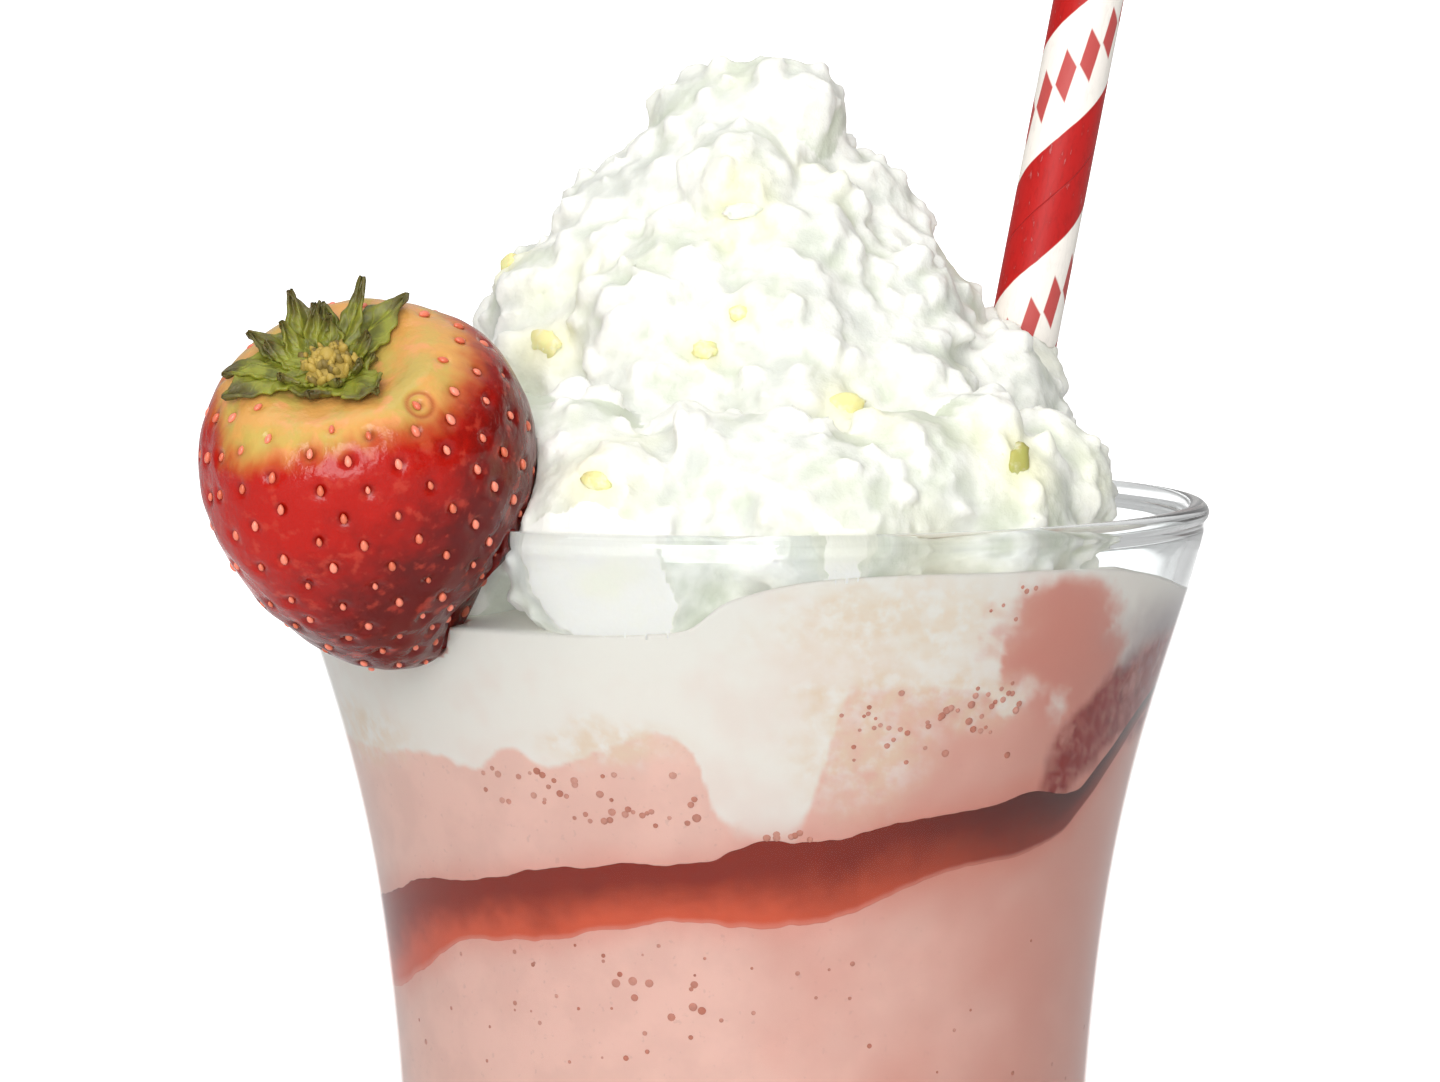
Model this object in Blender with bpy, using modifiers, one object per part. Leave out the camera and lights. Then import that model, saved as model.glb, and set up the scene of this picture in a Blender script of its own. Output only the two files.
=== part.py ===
"""A strawberry milkshake in its flared glass, with whipped cream, a strawberry on the rim and a paper straw.

Metres, +Z up. The origin is the centre of the glass's flat underside, and -Y is the front.
"""

import math
import random

import bmesh
import bpy
import numpy as np
from mathutils import Matrix, Vector
from mathutils.bvhtree import BVHTree

FIT_GAP = 0.0003
CUT_MARGIN = 0.002
SEED = 11

# Glass: a tapering wall with a flare that fades out down from the rim
RIM = 0.155
BODY_RADIUS = 0.0355
BODY_TAPER = 0.030
FLARE = 0.0106
FLARE_DEPTH = 0.0275
FLARE_FADE = 1.5
RIM_RADIUS = BODY_RADIUS + FLARE
LIP_RADIUS = 0.00115
LIP_DEPTH = 0.0028
WALL_AT_LIP = 0.0018
WALL_AT_FOOT = 0.0030
HEEL_RADIUS = 0.004
FLOOR = 0.013
FLOOR_CORNER = 0.012
GLASS_STEPS = 36

# Drink: its level at the wall, as turn in degrees and depth under the rim
LEVEL_AT_WALL = (
    (-180, 0.0095),
    (-130, 0.0100),
    (-97, 0.0090),
    (-75, 0.0052),
    (-38, 0.0050),
    (-26, 0.0058),
    (-12, 0.0076),
    (5, 0.0085),
    (30, 0.0085),
    (90, 0.0085),
    (180, 0.0095),
)
LEVEL_AT_CENTRE = 0.0080
DRINK_STEPS = 36
DRINK_RINGS = 20
DRINK_TOP_SHARE = 0.30
DRINK_WALL_SHARE = 0.86

# Syrup: a ribbon on the inside of the wall, as turn in degrees, depth under the rim and half height
SYRUP_PATH = (
    (8, 0.0160, 0.0009),
    (-8, 0.0205, 0.0022),
    (-24, 0.0262, 0.0029),
    (-38, 0.0297, 0.0035),
    (-64, 0.0327, 0.0035),
    (-90, 0.0357, 0.0033),
    (-112, 0.0367, 0.0031),
    (-135, 0.0385, 0.0033),
    (-157, 0.0409, 0.0044),
    (-180, 0.0440, 0.0052),
    (-205, 0.0500, 0.0043),
    (-228, 0.0552, 0.0026),
    (-245, 0.0585, 0.0010),
)
SYRUP_DEPTH = 0.0024
SYRUP_STEPS = 8
SYRUP_RINGS = 40

# Whipped cream: tiers of spoonfuls, as height over the rim, middle, reach, count and size
CREAM_CENTRE = 0.004
CREAM_TIERS = (
    (-0.0030, -0.0035, 0.0390, 13, 0.0082),
    (0.0050, -0.0010, 0.0325, 12, 0.0070),
    (0.0115, 0.0015, 0.0300, 11, 0.0063),
    (0.0180, -0.0005, 0.0250, 9, 0.0060),
    (0.0240, 0.0000, 0.0200, 8, 0.0055),
    (0.0295, 0.0005, 0.0160, 7, 0.0050),
    (0.0345, 0.0010, 0.0108, 5, 0.0045),
)
CREAM_CORE = ((0.004, 0.0275), (0.014, 0.0200), (0.024, 0.0140))
CREAM_SPOONS = (
    ((0.0005, 0.0000, 0.0358), 0.0070),
    ((0.0045, -0.0020, 0.0372), 0.0056),
    ((-0.0043, 0.0010, 0.0362), 0.0050),
    ((-0.0130, -0.0020, 0.0272), 0.0058),
    ((-0.0200, -0.0010, 0.0163), 0.0059),
    ((0.0123, 0.0010, 0.0262), 0.0058),
    ((0.0175, 0.0020, 0.0192), 0.0050),
    ((0.0268, -0.0020, 0.0073), 0.0058),
    ((0.0262, 0.0040, 0.0112), 0.0050),
    ((-0.0120, -0.0330, -0.0020), 0.0110),
    ((0.0070, -0.0340, -0.0010), 0.0105),
    ((0.0230, -0.0255, 0.0000), 0.0095),
    ((-0.0300, -0.0160, -0.0010), 0.0110),
    ((-0.0310, 0.0060, -0.0030), 0.0110),
)
CREAM_BLEND = 1800.0
CREAM_STEPS = 52
CREAM_RINGS = 28
CREAM_UNDER_GAP = 0.0006
CREAM_OVER_LIP = 0.0040

# Nut crumbs half sunk in the cream, as turn in degrees and rise over the horizon seen from its centre
CRUMBS = (
    (-139, 26),
    (-91, 35),
    (-99, 27),
    (-70, 14),
    (-109, 2),
    (-50, 3),
    (-90, 58),
    (25, 30),
    (70, 15),
    (110, 42),
    (150, 22),
    (-170, 40),
)
CRUMB_SIZE = 0.0016
CRUMB_SUNK = 0.0006

# Strawberry: its outline as share of the way from stem to tip, radius and height over its centre
BERRY_OUTLINE = (
    (0.00, 0.0000, 0.0124),
    (0.08, 0.0042, 0.0138),
    (0.18, 0.0094, 0.0146),
    (0.32, 0.0139, 0.0106),
    (0.46, 0.0158, 0.0034),
    (0.60, 0.0144, -0.0045),
    (0.74, 0.0106, -0.0111),
    (0.86, 0.0069, -0.0153),
    (0.95, 0.0035, -0.0175),
    (1.00, 0.0000, -0.0182),
)
BERRY_CENTRE = (-0.0358, -0.0345, RIM + 0.0042)
BERRY_NOD = 33.0
BERRY_LEAN = -11.0
BERRY_BEND = (0.0008, -0.0042)
BERRY_STEPS = 32
BERRY_RINGS = 18
BERRY_UNEVEN = ((2, 0.030, 0.6), (3, 0.022, 2.1), (5, 0.010, 0.3))
BERRY_CLEARANCE = 0.0006
SEEDS = 60
SEED_FROM = 0.20
SEED_SIZE = (0.00055, 0.00085, 0.00048)
SEED_SUNK = 0.00018

# Calyx: each leaf as turn in degrees, length, half width and lift of its tip
LEAVES = (
    (-166, 0.0080, 0.0034, 0.0004),
    (-112, 0.0042, 0.0036, 0.0003),
    (-52, 0.0076, 0.0036, 0.0004),
    (-8, 0.0042, 0.0028, 0.0005),
    (38, 0.0096, 0.0033, 0.0005),
    (58, 0.0078, 0.0019, 0.0044),
    (82, 0.0060, 0.0022, 0.0020),
    (112, 0.0066, 0.0021, 0.0044),
    (142, 0.0062, 0.0026, 0.0012),
    (172, 0.0076, 0.0028, 0.0004),
)
CALYX_MIDDLE = (-0.0019, 0.0003)
LEAF_ALONG = 5
LEAF_ACROSS = 2
LEAF_THICKNESS = 0.00045
LEAF_WAVE = 0.00035
LEAF_START = 0.0012
LEAF_ROOT = 0.0008
HUB_RADIUS = 0.0027
HUB_HEIGHT = 0.0011
STALK_RADIUS = 0.0010
STALK_HEIGHT = 0.0021

# Straw
STRAW_RADIUS = 0.00345
STRAW_WALL = 0.0004
STRAW_LENGTH = 0.212
STRAW_LEAN = 10.8
STRAW_FOOT = (-0.0020, 0.0060, FLOOR + 0.0013)
STRAW_STEPS = 26

SKIN = {
    "glass": ((0.93, 0.96, 0.96, 1.0), 0.03),
    "drink": ((0.78, 0.45, 0.38, 1.0), 0.35),
    "syrup": ((0.42, 0.03, 0.015, 1.0), 0.12),
    "cream": ((0.93, 0.93, 0.89, 1.0), 0.5),
    "berry": ((0.55, 0.015, 0.01, 1.0), 0.22),
    "leaf": ((0.10, 0.20, 0.03, 1.0), 0.5),
    "paper": ((0.85, 0.82, 0.78, 1.0), 0.6),
}


def clear_scene():
    for old in list(bpy.data.objects):
        bpy.data.objects.remove(old, do_unlink=True)


def collection(name):
    made = bpy.data.collections.new(name)
    bpy.context.scene.collection.children.link(made)
    return made


def skin(name):
    colour, roughness = SKIN[name]
    made = bpy.data.materials.new(name)
    made.use_nodes = True
    shader = made.node_tree.nodes["Principled BSDF"]
    shader.inputs["Base Color"].default_value = colour
    shader.inputs["Roughness"].default_value = roughness
    shader.inputs["Metallic"].default_value = 0.0
    if name == "glass":
        shader.inputs["Transmission Weight"].default_value = 1.0
    return made


def smooth_through(points, x, column=1):
    """The value at x of a smooth curve through points, which are rows in order of their first number."""
    rows = points if points[0][0] < points[-1][0] else points[::-1]
    xs = [row[0] for row in rows]
    ys = [row[column] for row in rows]
    x = min(max(x, xs[0]), xs[-1])
    i = min(max(sum(1 for known in xs if known <= x) - 1, 0), len(xs) - 2)

    def slope(k):
        low, high = max(k - 1, 0), min(k + 1, len(xs) - 1)
        return (ys[high] - ys[low]) / (xs[high] - xs[low])

    span = xs[i + 1] - xs[i]
    t = (x - xs[i]) / span
    return (
        ys[i] * (1 + 2 * t) * (1 - t) ** 2
        + ys[i + 1] * t * t * (3 - 2 * t)
        + slope(i) * span * t * (1 - t) ** 2
        - slope(i + 1) * span * t * t * (1 - t)
    )


def outer_radius(z):
    depth = max(RIM - z, 0.0)
    return BODY_RADIUS - BODY_TAPER * depth + FLARE * math.exp(-((depth / FLARE_DEPTH) ** FLARE_FADE))


def inner_radius(z):
    share = min(max((RIM - z) / RIM, 0.0), 1.0)
    return outer_radius(z) - (WALL_AT_LIP + (WALL_AT_FOOT - WALL_AT_LIP) * share)


def polar(radius, turn, z):
    return Vector((radius * math.cos(turn), radius * math.sin(turn), z))


def finish_mesh(name, mesh, group, material=None):
    made = bpy.data.objects.new(name, mesh)
    if material:
        mesh.materials.append(material)
    group.objects.link(made)
    return made


def hide(helper):
    helper.hide_render = True
    helper.display_type = "WIRE"
    return helper


def turned(name, profile, steps, group, material=None):
    """A closed solid turned from a profile that starts and ends on the axis, or closes on itself."""
    mesh = bpy.data.meshes.new(name)
    edges = [(i, i + 1) for i in range(len(profile) - 1)]
    if profile[0][0] > 0:
        edges.append((len(profile) - 1, 0))
    mesh.from_pydata([(r, 0.0, z) for r, z in profile], edges, [])
    made = finish_mesh(name, mesh, group, material)
    screw = made.modifiers.new("Turn", "SCREW")
    screw.steps = screw.render_steps = steps
    screw.use_merge_vertices = True
    screw.merge_threshold = 0.00005
    screw.use_smooth_shade = True
    return made


def shaped_ball(name, around, rings, place, group, material=None):
    """A UV sphere with every vertex moved to place(turn, fall), where fall is 0 at the top and 1 at the foot."""
    bm = bmesh.new()
    bmesh.ops.create_uvsphere(bm, u_segments=around, v_segments=rings, radius=1.0)
    for vertex in bm.verts:
        turn = math.atan2(vertex.co.y, vertex.co.x)
        fall = math.acos(min(max(vertex.co.z, -1.0), 1.0)) / math.pi
        vertex.co = place(turn, fall)
    bmesh.ops.recalc_face_normals(bm, faces=bm.faces)
    mesh = bpy.data.meshes.new(name)
    bm.to_mesh(mesh)
    bm.free()
    mesh.shade_smooth()
    return finish_mesh(name, mesh, group, material)


def cut(solid, cutter):
    modifier = solid.modifiers.new("Cut " + cutter.name, "BOOLEAN")
    modifier.operation = "DIFFERENCE"
    modifier.object = cutter


def join(solid, others):
    """Unions the objects of a collection into solid, applies it, and removes them."""
    modifier = solid.modifiers.new("Join", "BOOLEAN")
    modifier.operation = "UNION"
    modifier.operand_type = "COLLECTION"
    modifier.collection = others
    modifier.solver = "MANIFOLD"
    bpy.context.view_layer.update()
    graph = bpy.context.evaluated_depsgraph_get()
    joined = bpy.data.meshes.new_from_object(solid.evaluated_get(graph))
    solid.modifiers.clear()
    solid.data = joined
    joined.shade_smooth()
    for done in list(others.objects):
        bpy.data.objects.remove(done, do_unlink=True)
    bpy.data.collections.remove(others)


def lip_arc(widen=0.0):
    """The round lip, from the outside over the top to the inside."""
    centre = RIM_RADIUS - LIP_RADIUS
    first, last, count = -40.0, 200.0, 6
    points = []
    for i in range(count + 1):
        angle = math.radians(first + (last - first) * i / count)
        reach = LIP_RADIUS + widen
        points.append((centre + reach * math.cos(angle), RIM - LIP_RADIUS + reach * math.sin(angle)))
    return points


def floor_curve(gap, count=5):
    """The rounded inside corner of the glass, from the wall in to the axis."""
    edge = inner_radius(FLOOR + FLOOR_CORNER) - gap
    points = []
    for i in range(count + 1):
        angle = math.pi / 2 * (1 - i / count)
        drop = FLOOR_CORNER * (1 - math.cos(angle))
        points.append((edge * math.sin(angle), FLOOR + gap + drop))
    return points


def wall_heights(low, high, count):
    return [high + (low - high) * (i / count) ** 1.15 for i in range(count + 1)]


def make_glass(group):
    outside = [(outer_radius(z), z) for z in wall_heights(HEEL_RADIUS, RIM - LIP_DEPTH, 10)]
    heel = outside[-1][0] - HEEL_RADIUS
    for degrees in (30, 60, 90):
        angle = math.radians(degrees)
        outside.append((heel + HEEL_RADIUS * math.cos(angle), HEEL_RADIUS * (1 - math.sin(angle))))
    inside = [(inner_radius(z), z) for z in wall_heights(FLOOR + FLOOR_CORNER, RIM - LIP_DEPTH, 9)]
    bowl = floor_curve(0.0)
    profile = bowl[::-1] + inside[-2::-1] + lip_arc()[::-1] + outside + [(0.0, 0.0)]
    return turned("glass", profile, GLASS_STEPS, group, skin("glass"))


def drink_level(radius, turn):
    """The height of the drink's surface."""
    wall = smooth_through(LEVEL_AT_WALL, math.degrees(turn))
    share = min(radius / RIM_RADIUS, 1.0) ** 2
    return RIM - (LEVEL_AT_CENTRE + (wall - LEVEL_AT_CENTRE) * share)


def make_drink(group):
    def place(turn, fall):
        edge = drink_level(RIM_RADIUS, turn)
        if fall <= DRINK_TOP_SHARE:
            radius = (inner_radius(edge) - FIT_GAP) * fall / DRINK_TOP_SHARE
            return polar(radius, turn, drink_level(radius * RIM_RADIUS / inner_radius(edge), turn))
        if fall <= DRINK_WALL_SHARE:
            t = (fall - DRINK_TOP_SHARE) / (DRINK_WALL_SHARE - DRINK_TOP_SHARE)
            z = edge + (FLOOR + FLOOR_CORNER - edge) * t**1.15
            return polar(inner_radius(z) - FIT_GAP, turn, z)
        angle = math.pi / 2 * (1 - fall) / (1 - DRINK_WALL_SHARE)
        reach = (inner_radius(FLOOR + FLOOR_CORNER) - FIT_GAP) * math.sin(angle)
        return polar(reach, turn, FLOOR + FIT_GAP + FLOOR_CORNER * (1 - math.cos(angle)))

    return shaped_ball("milkshake", DRINK_STEPS, DRINK_RINGS, place, group, skin("drink"))


def make_syrup(name, group, material=None, grow=0.0, behind=0.0):
    """The ribbon of syrup; grow and behind make the cutter that leaves room for it in the drink."""
    first, last = SYRUP_PATH[0][0], SYRUP_PATH[-1][0]

    def place(turn, fall):
        swell = math.sin(math.pi * fall) ** 0.35
        degrees = first + (last - first) * fall
        depth = smooth_through(SYRUP_PATH, degrees)
        half = smooth_through(SYRUP_PATH, degrees, 2) * swell + grow
        z = RIM - depth + half * math.sin(turn)
        inward = math.cos(turn) > 0
        bulge = (SYRUP_DEPTH * swell + grow) * max(math.cos(turn), 0.0) ** 0.6
        reach = FIT_GAP + bulge if inward else FIT_GAP - behind
        past_end = 3 * grow / RIM_RADIUS * (1 if fall < 0.5 else -1) * abs(2 * fall - 1) ** 8
        return polar(inner_radius(z) - reach, math.radians(degrees) + past_end, z)

    return shaped_ball(name, SYRUP_STEPS, SYRUP_RINGS, place, group, material)


def cream_spoonfuls():
    """Every spoonful as a centre over the rim's centre and a radius."""
    draw = random.Random(SEED)
    found = [((0.0, 0.0, height), radius) for height, radius in CREAM_CORE]
    found += list(CREAM_SPOONS)
    for height, middle, reach, count, size in CREAM_TIERS:
        start = draw.uniform(0, 2 * math.pi)
        for i in range(count):
            turn = start + 2 * math.pi * (i + draw.uniform(-0.22, 0.22)) / count
            radius = size * draw.uniform(0.82, 1.16)
            out = reach - radius + draw.uniform(-0.0010, 0.0010)
            z = height + draw.uniform(-0.0018, 0.0018)
            found.append(((middle + out * math.cos(turn), out * math.sin(turn), z), radius))
    return found


def cream_reach(direction, centres, radii):
    """How far the heap of spoonfuls reaches from its centre along a direction, with its creases softened."""
    along = centres @ np.array(direction)
    inside = along**2 - (centres**2).sum(axis=1) + radii**2
    reaches = np.where(inside > 0, along + np.sqrt(np.maximum(inside, 0.0)), 0.0)
    return float(np.log(np.exp(CREAM_BLEND * reaches).sum()) / CREAM_BLEND)


def room_in_glass(start, direction, limit):
    """How far a ray can go before it meets the wall or the drink."""
    low, high = 0.0, limit
    mouth = RIM_RADIUS - 2 * LIP_RADIUS

    def free(t):
        point = start + direction * t
        radius = math.hypot(point.x, point.y)
        over_drink = point.z > drink_level(radius, math.atan2(point.y, point.x)) + CREAM_UNDER_GAP
        in_wall = point.z < RIM + CREAM_OVER_LIP and radius > min(inner_radius(point.z), mouth) - FIT_GAP
        return over_drink and not in_wall

    if free(high):
        return high
    for _ in range(22):
        middle = (low + high) / 2
        low, high = (middle, high) if free(middle) else (low, middle)
    return low


def make_cream(group, helpers):
    spoons = cream_spoonfuls()
    start = Vector((0.0, 0.0, RIM + CREAM_CENTRE))
    offset = np.array([0.0, 0.0, CREAM_CENTRE])
    centres = np.array([centre for centre, _ in spoons]) - offset
    radii = np.array([radius for _, radius in spoons])

    def surface(direction):
        reach = cream_reach(direction, centres, radii)
        return start + direction * room_in_glass(start, direction, reach)

    def place(turn, fall):
        angle = math.pi * fall**1.12
        return surface(polar(math.sin(angle), turn, math.cos(angle)))

    cream = shaped_ball("whipped_cream", CREAM_STEPS, CREAM_RINGS, place, group, skin("cream"))
    faces = BVHTree.FromPolygons([v.co for v in cream.data.vertices], [p.vertices for p in cream.data.polygons])
    crumbs = collection("crumbs")
    draw = random.Random(SEED + 1)
    for index, (turn, rise) in enumerate(CRUMBS):
        direction = polar(math.cos(math.radians(rise)), math.radians(turn), math.sin(math.radians(rise)))
        bm = bmesh.new()
        bmesh.ops.create_icosphere(bm, subdivisions=1, radius=CRUMB_SIZE)
        shape = Matrix.Diagonal((1.0, draw.uniform(0.6, 0.9), draw.uniform(0.5, 0.7), 1.0))
        spin = Matrix.Rotation(draw.uniform(0, math.pi), 4, direction)
        seat = faces.ray_cast(start, direction)[0] - direction * CRUMB_SUNK
        bm.transform(Matrix.Translation(seat) @ spin @ shape)
        mesh = bpy.data.meshes.new(f"crumb_{index}")
        bm.to_mesh(mesh)
        bm.free()
        crumbs.objects.link(bpy.data.objects.new(mesh.name, mesh))
    join(cream, crumbs)
    for helper in helpers:
        cut(cream, helper)
    return cream


def berry_frame():
    nod = Matrix.Rotation(math.radians(BERRY_NOD), 4, "X")
    lean = Matrix.Rotation(math.radians(BERRY_LEAN), 4, "Y")
    return Matrix.Translation(BERRY_CENTRE) @ lean @ nod


def berry_point(turn, fall, grow=0.0):
    """A point of the strawberry's skin in its own frame, with its stem end up."""
    uneven = 1.0 + sum(size * math.sin(waves * turn + phase) for waves, size, phase in BERRY_UNEVEN)
    radius = smooth_through(BERRY_OUTLINE, fall) * uneven
    height = smooth_through(BERRY_OUTLINE, fall, 2)
    point = polar(max(radius + grow, 0.0), turn, height * (1 + grow / BERRY_OUTLINE[4][1]))
    bend = (min(height, 0.0) / BERRY_OUTLINE[-1][2]) ** 2
    return point + Vector((BERRY_BEND[0] * bend, BERRY_BEND[1] * bend, 0.0))


def berry_normal(turn, fall):
    step = 0.01
    across = berry_point(turn + step, fall) - berry_point(turn - step, fall)
    down = berry_point(turn, min(fall + step, 1.0)) - berry_point(turn, max(fall - step, 0.0))
    return down.cross(across).normalized()


def berry_solid(name, grow, group, material=None):
    made = shaped_ball(
        name, BERRY_STEPS, BERRY_RINGS, lambda turn, fall: berry_point(turn, fall, grow), group, material
    )
    made.data.transform(berry_frame())
    return made


def wall_cutter(group):
    """The glass's wall and lip, thicker by the fitting gap on every side."""
    low = RIM - 0.045
    outside = [(outer_radius(z) + FIT_GAP, z) for z in wall_heights(low, RIM - LIP_DEPTH, 8)]
    inside = [(inner_radius(z) - FIT_GAP, z) for z in wall_heights(low, RIM - LIP_DEPTH, 8)]
    profile = lip_arc(FIT_GAP)[::-1] + outside + inside[::-1]
    return hide(turned("wall_room", profile, GLASS_STEPS, group))


def seed_places():
    """Turn and fall of each seed on the skin, spread evenly by the golden angle, clear of the slot."""
    golden = math.pi * (3 - math.sqrt(5))
    start = math.cos(math.pi * SEED_FROM)
    for k in range(SEEDS):
        fall = math.acos(start - (start + 0.985) * (k + 0.5) / SEEDS) / math.pi
        turn = k * golden
        point = berry_frame() @ berry_point(turn, fall)
        radius = math.hypot(point.x, point.y)
        near_wall = inner_radius(point.z) - CUT_MARGIN < radius < outer_radius(point.z) + CUT_MARGIN
        if not (near_wall and point.z < RIM + CUT_MARGIN):
            yield turn, fall


def make_berry(group, wall_room):
    berry = berry_solid("strawberry", 0.0, group, skin("berry"))
    seeds = collection("seeds")
    for index, (turn, fall) in enumerate(seed_places()):
        normal = berry_normal(turn, fall)
        upward = (berry_point(turn, fall - 0.01) - berry_point(turn, fall + 0.01)).normalized()
        side = upward.cross(normal)
        turned_to = Matrix((side, upward, normal)).transposed().to_4x4()
        bm = bmesh.new()
        bmesh.ops.create_icosphere(bm, subdivisions=1, radius=1.0)
        bm.transform(turned_to @ Matrix.Diagonal((*SEED_SIZE, 1.0)))
        bm.transform(Matrix.Translation(berry_point(turn, fall) - normal * SEED_SUNK))
        bm.transform(berry_frame())
        mesh = bpy.data.meshes.new(f"seed_{index}")
        bm.to_mesh(mesh)
        bm.free()
        seeds.objects.link(bpy.data.objects.new(mesh.name, mesh))
    join(berry, seeds)
    cut(berry, wall_room)
    return berry


def over_skin(x, y, rise):
    """The point a given rise over the strawberry's upper skin, where x and y lie in its own frame."""
    turn = math.atan2(y, x)
    uneven = 1.0 + sum(size * math.sin(waves * turn + phase) for waves, size, phase in BERRY_UNEVEN)
    low, high = 0.0, BERRY_OUTLINE[4][0]
    for _ in range(20):
        middle = (low + high) / 2
        inside = smooth_through(BERRY_OUTLINE, middle) * uneven < math.hypot(x, y)
        low, high = (middle, high) if inside else (low, middle)
    return berry_point(turn, low) + berry_normal(turn, low) * rise


def leaf_mesh(name, turn, length, half_width, lift):
    """One thin leaf that follows the strawberry's shoulder and then lifts off it."""
    bm = bmesh.new()
    bmesh.ops.create_grid(bm, x_segments=LEAF_ALONG, y_segments=LEAF_ACROSS, size=1.0)
    bmesh.ops.triangulate(bm, faces=bm.faces)
    for vertex in bm.verts:
        along = (vertex.co.x + 1) / 2
        across = vertex.co.y
        out = LEAF_START + length * along
        width = half_width * (0.42 + 0.95 * along) * (1 - along**2.2) + 0.0002
        flat = polar(out, turn, 0.0) + polar(across * width, turn + math.pi / 2, 0.0)
        wave = LEAF_WAVE * (1 + math.sin(9 * along + 5 * across)) * along
        rise = FIT_GAP + 0.0001 + LEAF_ROOT * (1 - along) ** 3 + lift * along**2.4 + wave
        vertex.co = over_skin(CALYX_MIDDLE[0] + flat.x, CALYX_MIDDLE[1] + flat.y, rise)
    bmesh.ops.recalc_face_normals(bm, faces=bm.faces)
    if sum((face.normal.z for face in bm.faces)) < 0:
        bmesh.ops.reverse_faces(bm, faces=bm.faces)
    mesh = bpy.data.meshes.new(name)
    bm.to_mesh(mesh)
    bm.free()
    return mesh


def make_calyx(group):
    hub_centre = over_skin(*CALYX_MIDDLE, FIT_GAP + 0.0003 + HUB_HEIGHT).z

    def place(turn, fall):
        angle = math.pi * fall
        radius = HUB_RADIUS * math.sin(angle)
        height = HUB_HEIGHT * math.cos(angle)
        if angle < math.pi / 2:
            stalk = max(1 - radius / STALK_RADIUS, 0.0)
            height += STALK_HEIGHT * min(stalk * 3, 1.0)
        return polar(radius, turn, hub_centre + height) + Vector((*CALYX_MIDDLE, 0.0))

    calyx = shaped_ball("calyx", 14, 14, place, group, skin("leaf"))
    leaves = collection("leaves")
    for index, (degrees, length, half_width, lift) in enumerate(LEAVES):
        name = f"leaf_{index}"
        leaf = bpy.data.objects.new(name, leaf_mesh(name, math.radians(degrees), length, half_width, lift))
        leaves.objects.link(leaf)
        thick = leaf.modifiers.new("Thickness", "SOLIDIFY")
        thick.thickness = LEAF_THICKNESS
        thick.offset = 1.0
    join(calyx, leaves)
    calyx.data.transform(berry_frame())
    return calyx


def straw_frame():
    lean = Matrix.Rotation(math.radians(STRAW_LEAN), 4, "Y")
    return Matrix.Translation(STRAW_FOOT) @ lean


def make_straw(group):
    bm = bmesh.new()
    bmesh.ops.create_cone(
        bm, cap_ends=False, segments=STRAW_STEPS, radius1=STRAW_RADIUS, radius2=STRAW_RADIUS, depth=STRAW_LENGTH
    )
    bm.transform(Matrix.Translation((0, 0, STRAW_LENGTH / 2)))
    mesh = bpy.data.meshes.new("straw")
    bm.to_mesh(mesh)
    bm.free()
    mesh.shade_smooth()
    straw = finish_mesh("straw", mesh, group, skin("paper"))
    straw.matrix_world = straw_frame()
    wall = straw.modifiers.new("Wall", "SOLIDIFY")
    wall.thickness = STRAW_WALL
    wall.offset = -1.0
    return straw


def straw_cutter(group):
    bm = bmesh.new()
    room = STRAW_RADIUS + FIT_GAP
    bmesh.ops.create_cone(
        bm, cap_ends=True, segments=STRAW_STEPS, radius1=room, radius2=room, depth=STRAW_LENGTH + 2 * CUT_MARGIN
    )
    bm.transform(Matrix.Translation((0, 0, STRAW_LENGTH / 2)))
    mesh = bpy.data.meshes.new("straw_room")
    bm.to_mesh(mesh)
    bm.free()
    made = finish_mesh("straw_room", mesh, group)
    made.matrix_world = straw_frame()
    return hide(made)


def main():
    clear_scene()
    group = collection("strawberry_milkshake")
    cutters = collection("cutters")
    wall_room = wall_cutter(cutters)
    straw_room = straw_cutter(cutters)
    berry_room = hide(berry_solid("berry_room", BERRY_CLEARANCE, cutters))
    syrup_room = hide(make_syrup("syrup_room", cutters, grow=2 * FIT_GAP, behind=CUT_MARGIN))
    make_glass(group)
    drink = make_drink(group)
    for room in (syrup_room, straw_room, berry_room):
        cut(drink, room)
    make_syrup("strawberry_syrup", group, skin("syrup"))
    make_cream(group, (straw_room, berry_room))
    make_berry(group, wall_room)
    make_calyx(group)
    make_straw(group)


main()
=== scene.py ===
"""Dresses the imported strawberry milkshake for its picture.

It is laid out as a Blender add-on and run as a script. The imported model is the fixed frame: metres, +Z up,
the origin at the centre of the glass's underside, and -Y towards the camera.
"""

import math
import random

import bmesh
import bpy
import numpy as np
from mathutils import Matrix, Vector, noise
from mathutils.bvhtree import BVHTree


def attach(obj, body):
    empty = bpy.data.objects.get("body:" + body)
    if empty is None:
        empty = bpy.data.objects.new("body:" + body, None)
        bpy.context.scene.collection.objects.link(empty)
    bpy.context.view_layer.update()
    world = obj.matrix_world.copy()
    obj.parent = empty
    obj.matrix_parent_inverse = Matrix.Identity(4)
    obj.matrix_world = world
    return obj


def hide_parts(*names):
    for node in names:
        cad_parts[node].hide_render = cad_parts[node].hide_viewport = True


bl_info = {
    "name": "Strawberry Milkshake",
    "version": (1, 0, 0),
    "blender": (4, 5, 0),
    "location": "View3D > Sidebar > Milkshake",
    "description": "Builds the glass, drink, syrup, cream, strawberry and straw round the packed model",
    "category": "Add Mesh",
}

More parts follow.
